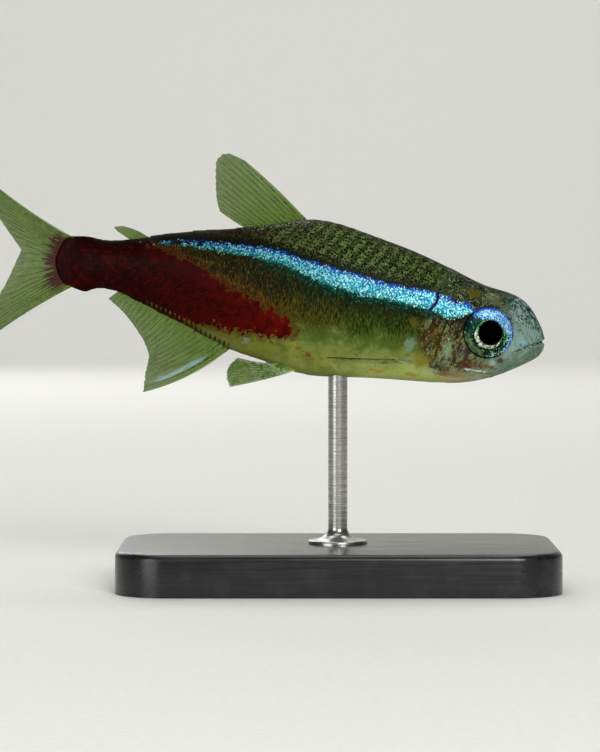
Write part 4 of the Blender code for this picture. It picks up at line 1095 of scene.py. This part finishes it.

    # Roots of the anal fin's rays, line of the mouth, and a dark arc of painted shade under and behind the eye
    spacing = add("Math", {0: station, 1: 2 * math.pi / ANAL_RAY_SPACING}, operation="MULTIPLY")
    beads = add("Math", {0: spacing}, operation="SINE")
    between = add("Math", {0: spacing}, operation="COSINE")
    colour, _ = painted(add, colour, linear("6e7040"), (rise, 0.085, 0.060), (rise, 0.015, 0.030),
                        (station, 16.8, 17.4), (station, 20.0, 18.8), strength=0.45)
    colour, _ = painted(add, colour, linear("6a7028"), (between, 0.2, 0.7), (rise, 0.085, 0.065), (rise, 0.02, 0.04),
                        (grain, 0.40, 0.52), (station, 19.0, 19.8), (station, 23.0, 22.2), strength=0.55)
    colour, _ = painted(add, colour, linear("0a0d05"), (beads, -0.1, 0.5), (rise, 0.060, 0.035), (station, 17.4, 17.8),
                        (station, 24.6, 24.0), strength=0.8)
    line = add("Math", {0: mouth}, operation="ABSOLUTE")
    colour, _ = painted(add, colour, linear("141d17"), (line, 0.10, 0.055), (grain, 0.45, 0.53), (station, 2.0, 1.7),
                        strength=0.85)
    # Painted shade in the crease along the eye's lower back rim, on the skin
    below = add("Math", {0: height, 1: station}, operation="SUBTRACT")
    middle = EYE_HEIGHT - EYE_STATION
    colour, _ = painted(add, colour, linear("070b07"), (orbit, EYE_RADIUS + 0.06, EYE_RADIUS + 0.01),
                        (below, middle + 0.1, middle - 0.7), strength=0.9)

    # Mirror-like along the stripe and on the flecks, wet everywhere
    shine = add("Math", {0: on_stripe, 1: 0.15}, operation="MULTIPLY")
    shine = add("Math", {0: silver, 1: 0.2, 2: shine}, operation="MULTIPLY_ADD")
    rough = add("MapRange", {0: grain, 1: 0.3, 2: 0.7, 3: 0.40, 4: 0.55})
    bump = add("Bump", {"Height": grain, "Strength": 0.25, "Distance": 0.02 * MM})
    add("BsdfPrincipled", {"Base Color": colour, "Metallic": shine, "Roughness": rough, "Normal": bump,
                           "IOR": 1.40, "Specular IOR Level": 0.03, "Coat Weight": 0.02,
                           "Coat Roughness": 0.22}, into=shader)
    return material


def fish_eye(name):
    """A fish's iris under its clear cornea: blue mirror crystals above, dark green below, and a
    silver and gold ring round the pupil."""
    material, shader, add = finish_of(name)
    dial = add("Attribute", {}, "Vector", attribute_name="dial")
    ahead, up, radius = add("SeparateXYZ", {0: dial}).node.outputs
    grain = add("TexNoise", {"Vector": dial, "Scale": 1 / 0.14, "Detail": 3.0})
    smudge = add("TexNoise", {"Vector": dial, "Scale": 1 / 0.35, "Detail": 2.0})
    cells = add("TexVoronoi", {"Vector": dial, "Scale": 1 / 0.06}, out="Color")
    chance, tint, _ = add("SeparateXYZ", {0: cells}).node.outputs

    # Dark green lower half with a few bright crystals, a soft olive crescent towards the cheek, and
    # teal behind the pupil
    lower = add("ValToRGB", {0: tint}, stops=[(0.3, "040d07"), (0.7, "0b2612"), (0.90, "1a5c26"), (0.98, "8fd8a4")])
    lower, _ = painted(add, lower, linear("231e2a"), (smudge, 0.54, 0.64), (up, -0.4, -0.7), strength=0.6)
    rim = add("Math", {0: grain, 1: 0.16, 2: radius}, operation="MULTIPLY_ADD")
    behind = add("Math", {0: grain, 1: 0.30, 2: ahead}, operation="MULTIPLY_ADD")
    olive = add("ValToRGB", {0: smudge}, stops=[(0.38, "22361a"), (0.62, "56704a")])
    colour, _ = painted(add, lower, olive, (rim, 1.12, 1.26), (behind, 0.10, -0.20), (up, -0.10, -0.35), strength=0.92)
    colour, _ = painted(add, colour, linear("06423c"), (behind, -0.35, -0.65), (up, -0.40, 0.0), (radius, 1.30, 1.05),
                        (chance, 0.20, 0.40), strength=0.85)
    colour, _ = painted(add, colour, linear("04121c"), (rim, 1.20, 1.40), (behind, -0.45, -0.85), (up, -0.20, 0.10),
                        strength=0.85)

    # Green crystals ahead of the pupil
    green = add("ValToRGB", {0: tint}, stops=[(0.25, "0c4a22"), (0.55, "2a9e4e"), (0.90, "b0f0c0")])
    front = (behind, 0.62, 0.85), (up, -0.50, -0.20), (chance, 0.62, 0.35)
    colour, _ = painted(add, colour, green, *front, strength=0.95)

    # Upper part and a narrow front rim, bright with blue and white crystals, bluest at their edge
    tilt = add("Math", {0: ahead, 1: 0.36, 2: -0.54}, operation="MULTIPLY_ADD")
    tilt = add("Math", {0: up, 1: 1.0, 2: tilt}, operation="MULTIPLY_ADD")
    tilt = add("Math", {0: grain, 1: 0.28, 2: tilt}, operation="MULTIPLY_ADD")
    tilt = add("Math", {0: chance, 1: 0.20, 2: tilt}, operation="MULTIPLY_ADD")
    bright = add("ValToRGB", {0: tint}, stops=[
        (0.05, "123888"), (0.30, "266ea4"), (0.58, "5098bc"), (0.90, "a8d4dc")])
    bright, _ = painted(add, bright, linear("1826a8"), (rim, EYE_RADIUS - 0.16, EYE_RADIUS + 0.04), strength=0.92)
    colour, lit = painted(add, colour, bright, (tilt, 0.10, 0.24))
    edge_in = add("Math", {0: grain, 1: 0.24, 2: radius}, operation="MULTIPLY_ADD")
    colour, _ = painted(add, colour, bright, (edge_in, EYE_RADIUS - 0.12, EYE_RADIUS - 0.02), (ahead, 0.35, 0.85),
                        (up, -0.95, -0.70))
    colour, _ = painted(add, colour, linear("a8d0d8"), (chance, 0.70, 0.78), (edge_in, EYE_RADIUS - 0.12, EYE_RADIUS - 0.02),
                        (ahead, 0.0, 0.3), strength=0.85)

    # Ring round the pupil: broken specks of silver, gold and green, thick below and none above
    thick = add("Math", {0: ahead, 1: -0.11, 2: 0.0}, operation="MULTIPLY_ADD")
    thick = add("Math", {0: up, 1: -0.13, 2: thick}, operation="MULTIPLY_ADD")
    thick = add("Math", {0: smudge, 1: 0.20, 2: thick}, operation="MULTIPLY_ADD")
    ring = add("Math", {0: thick, 1: radius}, operation="SUBTRACT")
    silver = add("ValToRGB", {0: tint}, stops=[(0.10, "24501e"), (0.32, "8c8c38"), (0.55, "a8b89c"), (0.85, "eef8f2")])
    thin = add("ValToRGB", {0: tint}, stops=[(0.2, "0f4a20"), (0.6, "328a44"), (0.9, "8ccc90")])
    silver, _ = painted(add, silver, thin, (up, -0.25, 0.15))
    edge = -PUPIL_RADIUS
    colour, _ = painted(add, colour, linear("06140a"), (ring, edge - 0.16, edge - 0.02), strength=0.85)
    colour, _ = painted(add, colour, silver, (ring, edge - 0.03, edge + 0.03), (grain, 0.38, 0.48))
    colour, _ = painted(add, colour, linear("000000"), (radius, PUPIL_RADIUS + 0.06, PUPIL_RADIUS + 0.02))
    # Painted shade on the iris's lower back edge, where the eye meets the skin
    corner = add("Math", {0: ahead, 1: up}, operation="ADD")
    colour, _ = painted(add, colour, linear("030504"), (radius, EYE_RADIUS - 0.07, EYE_RADIUS - 0.02), (corner, 0.2, -0.5))
    bump = add("Bump", {"Height": grain, "Strength": 0.25, "Distance": 0.02 * MM})
    mirror = add("Math", {0: lit, 1: 0.15}, operation="MULTIPLY")
    add("BsdfPrincipled", {"Base Color": colour, "Metallic": mirror, "Roughness": 0.38, "Normal": bump,
                           "IOR": 1.38, "Specular IOR Level": 0.05, "Coat Weight": 0.03,
                           "Coat Roughness": 0.12}, into=shader)
    return material


def fish_lens(name):
    """The lens in the pupil: clear, over the black back of the eye, so it looks black and smooth."""
    material, shader, add = finish_of(name)
    dial = add("Attribute", {}, "Vector", attribute_name="dial")
    haze = add("TexNoise", {"Vector": dial, "Scale": 1 / 0.4, "Detail": 2.0})
    colour, _ = painted(add, linear("000000"), linear("020304"), (haze, 0.4, 0.7))
    rough = add("MapRange", {0: haze, 1: 0.3, 2: 0.7, 3: 0.30, 4: 0.38})
    add("BsdfPrincipled", {"Base Color": colour, "Roughness": rough, "IOR": 1.38,
                           "Specular IOR Level": 0.0}, into=shader)
    return material


def fin_membrane(name, tint, at_root, at_margin, band=0.0):
    """Clear fin skin stretched between the rays, a few hundredths of a millimetre thick. It lets
    about half of the light through and keeps an olive tint, denser at its root."""
    material, shader, add = finish_of(name)
    blade_at = add("Attribute", {}, "Vector", attribute_name="blade")
    ray, length, _ = add("SeparateXYZ", {0: blade_at}).node.outputs
    place = add("Attribute", {}, "Vector", attribute_name="place")
    grain = add("TexNoise", {"Vector": place, "Scale": 1 / 0.22, "Detail": 3.0})
    drawn = add("VectorMath", {0: blade_at, 1: (60.0, 5.0, 0.0)}, operation="MULTIPLY")
    fibre = add("TexNoise", {"Vector": drawn, "Scale": 1.0, "Detail": 2.0})
    colour, _ = painted(add, linear(tint), linear("2c4804"), (fibre, 0.42, 0.66), strength=0.6)
    dense = add("MapRange", {0: length, 1: 0.0, 2: 1.0, 3: at_root - 0.10, 4: at_margin - 0.10})
    dense = add("Math", {0: grain, 1: 0.10, 2: dense}, operation="MULTIPLY_ADD")
    dense = add("Math", {0: fibre, 1: 0.10, 2: dense}, operation="MULTIPLY_ADD")
    if band:
        colour, share = painted(add, colour, linear("94b4b8"), (ray, 0.100, 0.085), (ray, 0.050, 0.062),
                                (length, 0.18, 0.40), (length, 0.95, 0.75), (fibre, 0.30, 0.45), strength=band)
        dense = add("Math", {0: share, 1: dense}, operation="MAXIMUM")
    colour, dense = tail_root(add, blade_at, place, colour, dense)
    bump = add("Bump", {"Height": grain, "Strength": 0.3, "Distance": 0.02 * MM})
    add("BsdfPrincipled", {"Base Color": colour, "Alpha": dense, "Normal": bump, "Roughness": 0.35,
                           "IOR": 1.40, "Specular IOR Level": 0.2}, into=shader)
    return material


def tail_root(add, blade_at, place, colour, dense):
    """The red of the flank, which runs on along the middle rays of the tail fin in ragged streaks."""
    station, _, _ = add("SeparateXYZ", {0: place}).node.outputs
    ray, _, _ = add("SeparateXYZ", {0: blade_at}).node.outputs
    drawn = add("VectorMath", {0: blade_at, 1: (34.0, 2.0, 0.0)}, operation="MULTIPLY")
    spread = add("TexNoise", {"Vector": drawn, "Scale": 1.0, "Detail": 2.0})
    beyond = add("VectorMath", {0: place, 1: (25.9, 0, 0.2)}, operation="SUBTRACT")
    beyond = add("VectorMath", {0: beyond, 1: (1, 0, 1)}, operation="MULTIPLY")
    beyond = add("VectorMath", {0: beyond}, out="Value", operation="LENGTH")
    reach = add("Math", {0: spread, 1: -2.6, 2: beyond}, operation="MULTIPLY_ADD")
    off_middle = add("Math", {0: ray, 1: 0.5}, operation="SUBTRACT")
    off_middle = add("Math", {0: off_middle}, operation="ABSOLUTE")
    colour, share = painted(add, colour, linear("340402"), (reach, 2.00, 1.50), (station, 26.2, 26.7),
                            (off_middle, 0.49, 0.38), strength=0.95)
    dense = add("Math", {0: share, 1: dense}, operation="MAXIMUM")
    return colour, dense


def fin_ray(name, bone, pigment, solid, flecks, lead):
    """Fin rays: jointed bone under thin skin, olive, with dark pigment cells and white flecks."""
    material, shader, add = finish_of(name)
    blade_at = add("Attribute", {}, "Vector", attribute_name="blade")
    ray, length, _ = add("SeparateXYZ", {0: blade_at}).node.outputs
    place = add("Attribute", {}, "Vector", attribute_name="place")
    grain = add("TexNoise", {"Vector": place, "Scale": 1 / 0.30, "Detail": 3.0})
    cells = add("TexVoronoi", {"Vector": place, "Scale": 1 / 0.16}, out="Color")
    chance, _, _ = add("SeparateXYZ", {0: cells}).node.outputs
    colour, _ = painted(add, linear(bone), linear(pigment), (grain, 0.40, 0.58))
    colour, _ = painted(add, colour, linear("e6efe0"), (chance, 1 - flecks, 1.02 - flecks), (length, 0.85, 0.7),
                        (length, 0.18, 0.30), strength=0.9)
    colour, share = painted(add, colour, linear(lead), (ray, 0.030, 0.01), (length, 0.02, 0.15), strength=0.8)
    dense = add("Math", {0: share, 1: solid}, operation="MAXIMUM")
    colour, dense = tail_root(add, blade_at, place, colour, dense)
    bump = add("Bump", {"Height": grain, "Strength": 0.3, "Distance": 0.02 * MM})
    add("BsdfPrincipled", {"Base Color": colour, "Alpha": dense, "Normal": bump, "Roughness": 0.36,
                           "IOR": 1.45, "Specular IOR Level": 0.2}, into=shader)
    return material


def cast_acrylic(name):
    """Black cast acrylic, sawn and flame-polished: deep black, smooth, with faint hairline marks."""
    material, shader, add = finish_of(name)
    place = add("TexCoord", {}, "Object")
    brushed = add("Mapping", {"Vector": place, "Scale": (1 / (6 * MM), 1 / (0.15 * MM), 1 / (0.15 * MM))})
    marks = add("TexNoise", {"Vector": brushed, "Scale": 1.0, "Detail": 4.0})
    dust = add("TexNoise", {"Vector": place, "Scale": 1 / (0.9 * MM), "Detail": 5.0})
    colour, _ = painted(add, linear("121314"), linear("202123"), (dust, 0.45, 0.75))
    rough = add("MapRange", {0: marks, 1: 0.35, 2: 0.70, 3: 0.22, 4: 0.36})
    bump = add("Bump", {"Height": marks, "Strength": 0.12, "Distance": 0.01 * MM})
    add("BsdfPrincipled", {"Base Color": colour, "Roughness": rough, "Normal": bump, "IOR": 1.49}, into=shader)
    return material


def turned_steel(name):
    """Stainless steel rod, turned on a lathe: fine rings round it spread the light along it."""
    material, shader, add = finish_of(name)
    place = add("TexCoord", {}, "Object")
    rings = add("Mapping", {"Vector": place, "Scale": (1 / (3 * MM), 1 / (3 * MM), 1 / (0.07 * MM))})
    cut = add("TexNoise", {"Vector": rings, "Scale": 1.0, "Detail": 2.0})
    colour, _ = painted(add, linear("b9b8b4"), linear("8f8e8b"), (cut, 0.35, 0.70))
    rough = add("MapRange", {0: cut, 1: 0.3, 2: 0.7, 3: 0.20, 4: 0.34})
    bump = add("Bump", {"Height": cut, "Strength": 0.2, "Distance": 0.01 * MM})
    add("BsdfPrincipled", {"Base Color": colour, "Metallic": 1.0, "Roughness": rough, "Normal": bump}, into=shader)
    return material


# Stand, stage, lights and camera

def stand():
    """The base with its rounded corners and edge, and the rod on its foot."""
    shape = bmesh.new()
    bmesh.ops.create_cube(shape, size=1)
    bmesh.ops.scale(shape, vec=(BASE_LENGTH, BASE_WIDTH, BASE_HEIGHT), verts=shape.verts)
    bmesh.ops.translate(shape, vec=(0, 0, BASE_HEIGHT / 2), verts=shape.verts)
    upright = [e for e in shape.edges if abs(e.verts[0].co.z - e.verts[1].co.z) > BASE_HEIGHT / 2]
    bmesh.ops.bevel(shape, geom=upright, offset=BASE_CORNER, segments=16, profile=0.5, affect="EDGES")
    upper = [e for e in shape.edges if all(v.co.z > BASE_HEIGHT / 2 for v in e.verts)]
    bmesh.ops.bevel(shape, geom=upper, offset=BASE_BEVEL, segments=6, profile=0.5, affect="EDGES")
    bmesh.ops.scale(shape, vec=(MM, MM, MM), verts=shape.verts)
    points = [v.co.copy() for v in shape.verts]
    shape.verts.index_update()
    faces = [[v.index for v in face.verts] for face in shape.faces]
    shape.free()
    placed_piece("base", points, faces, cast_acrylic("cast_acrylic"), ("stand_base",), sharp=35)

    foot = BASE_HEIGHT + FOOT_HEIGHT
    top = BASE_HEIGHT + ROD_RISE + ROD_INTO_BELLY
    profile = [(0.001, top), (ROD_RADIUS * 0.7, top), (ROD_RADIUS * 0.9, top - 0.06), (ROD_RADIUS, top - 0.2)]
    profile += [(ROD_RADIUS, z) for z in np.linspace(top - 0.3, foot + 0.1, 40)]
    for a in np.linspace(0, math.pi / 2, 14):
        profile.append((FOOT_RADIUS - 0.12 - (FOOT_RADIUS - 0.12 - ROD_RADIUS) * math.cos(a),
                        BASE_HEIGHT + 0.22 + (FOOT_HEIGHT - 0.22) * (1 - math.sin(a))))
    for a in np.linspace(0.2, math.pi / 2, 5):
        profile.append((FOOT_RADIUS - 0.12 + 0.12 * math.sin(a), BASE_HEIGHT + 0.10 + 0.12 * math.cos(a)))
    profile += [(FOOT_RADIUS, BASE_HEIGHT - 0.02), (0.001, BASE_HEIGHT - 0.02)]
    steps = 72
    turns = np.linspace(0, 2 * math.pi, steps, endpoint=False)
    rings = [np.stack([r * np.cos(turns), r * np.sin(turns), np.full(steps, z)], axis=1) for r, z in profile]
    faces = grid_faces(len(profile), steps)
    faces = [face[::-1] for face in faces]
    faces += [list(range(steps)), list(range((len(profile) - 1) * steps, len(profile) * steps))[::-1]]
    placed_piece("rod", np.concatenate(rings) * MM, faces, turned_steel("turned_steel"),
                 ("stand_rod",), sharp=35)


def studio():
    """A pale floor that sweeps up far behind the stand, and soft lights on every side."""
    depth, sweep, tall, wide = 0.48, 0.30, 1.5, 1.5
    line = [(-1.2, 0.0)] + [(depth + sweep * math.sin(a), sweep * (1 - math.cos(a)))
                            for a in np.linspace(0, math.pi / 2, 24)] + [(depth + sweep, tall)]
    points = [(x, y, z) for x in (-wide, wide) for y, z in line]
    count = len(line)
    faces = [[k, count + k, count + k + 1, k + 1] for k in range(count - 1)]
    mesh = bpy.data.meshes.new("floor")
    mesh.from_pydata(points, [], faces)
    mesh.shade_smooth()
    floor = bpy.data.objects.new("floor", mesh)
    bpy.context.scene.collection.objects.link(floor)
    material, shader, add = finish_of("studio_paper")
    fibre = add("TexNoise", {"Vector": add("TexCoord", {}, "Object"), "Scale": 1 / (0.4 * MM), "Detail": 2.0})
    colour, _ = painted(add, linear("e4e3de"), linear("e0dfda"), (fibre, 0.4, 0.7))
    add("BsdfPrincipled", {"Base Color": colour, "Roughness": 0.85}, into=shader)
    mesh.materials.append(material)

    fish, paper = (0.0, 0.0, 0.013), (0.0, 0.76, 0.10)
    lights = {"key": ((0.10, -0.30, 0.14), fish, 0.14, 0.72), "fill": ((-0.20, -0.24, 0.06), fish, 0.18, 0.30),
              "top": ((-0.02, -0.02, 0.32), fish, 0.22, 0.22), "rear": ((-0.10, 0.32, 0.16), fish, 0.20, 0.20),
              "backdrop": ((0.0, 0.42, 0.75), paper, 0.70, 4.0)}
    for name, (place, target, size, power) in lights.items():
        data = bpy.data.lights.new(name, "AREA")
        data.shape = "DISK"
        data.size = size
        data.energy = power
        lamp = bpy.data.objects.new(name, data)
        bpy.context.scene.collection.objects.link(lamp)
        lamp.location = place
        lamp.rotation_euler = (Vector(target) - Vector(place)).to_track_quat("-Z", "Y").to_euler()
    world = bpy.data.worlds.new("studio")
    world.use_nodes = True
    world.node_tree.nodes["Background"].inputs["Color"].default_value = linear("e9eef2")
    world.node_tree.nodes["Background"].inputs["Strength"].default_value = 0.10
    bpy.context.scene.world = world
    bpy.context.scene.view_settings.view_transform = "Standard"


def camera():
    """The photograph's view: square to the fish's right side, the snout at the right and the tips
    of the tail fin past the left edge. One millimetre of the fish is 17.5 pixels of 600."""
    lens, sensor, elevation = 200.0, 36.0, math.radians(2.0)
    image_width, pixels_per_mm = 600, 17.514
    distance = lens / sensor * image_width / pixels_per_mm
    snout = posed(np.zeros(3)) / MM
    aim = Vector((snout[0] - 13.84, 0.0, snout[2] - 1.94))
    back_off = Vector((0, -math.cos(elevation), math.sin(elevation)))
    data = bpy.data.cameras.new("camera")
    data.sensor_fit = "HORIZONTAL"
    data.sensor_width = sensor
    data.lens = lens
    data.clip_start = 0.001
    made = bpy.data.objects.new("camera", data)
    bpy.context.scene.collection.objects.link(made)
    made.location = (aim + back_off * distance) * MM
    made.rotation_euler = (-back_off).to_track_quat("-Z", "Y").to_euler()
    bpy.context.scene.camera = made


skin_finish = fish_skin("fish_skin")
skin(skin_finish)
scales(1, "scales_left", skin_finish)
scales(-1, "scales_right", skin_finish)
iris_finish, lens_finish = fish_eye("fish_eye"), fish_lens("fish_lens")
eye(1, "left", "eye_left", iris_finish, lens_finish)
eye(-1, "right", "eye_right", iris_finish, lens_finish)
fins()
stand()
studio()
camera()
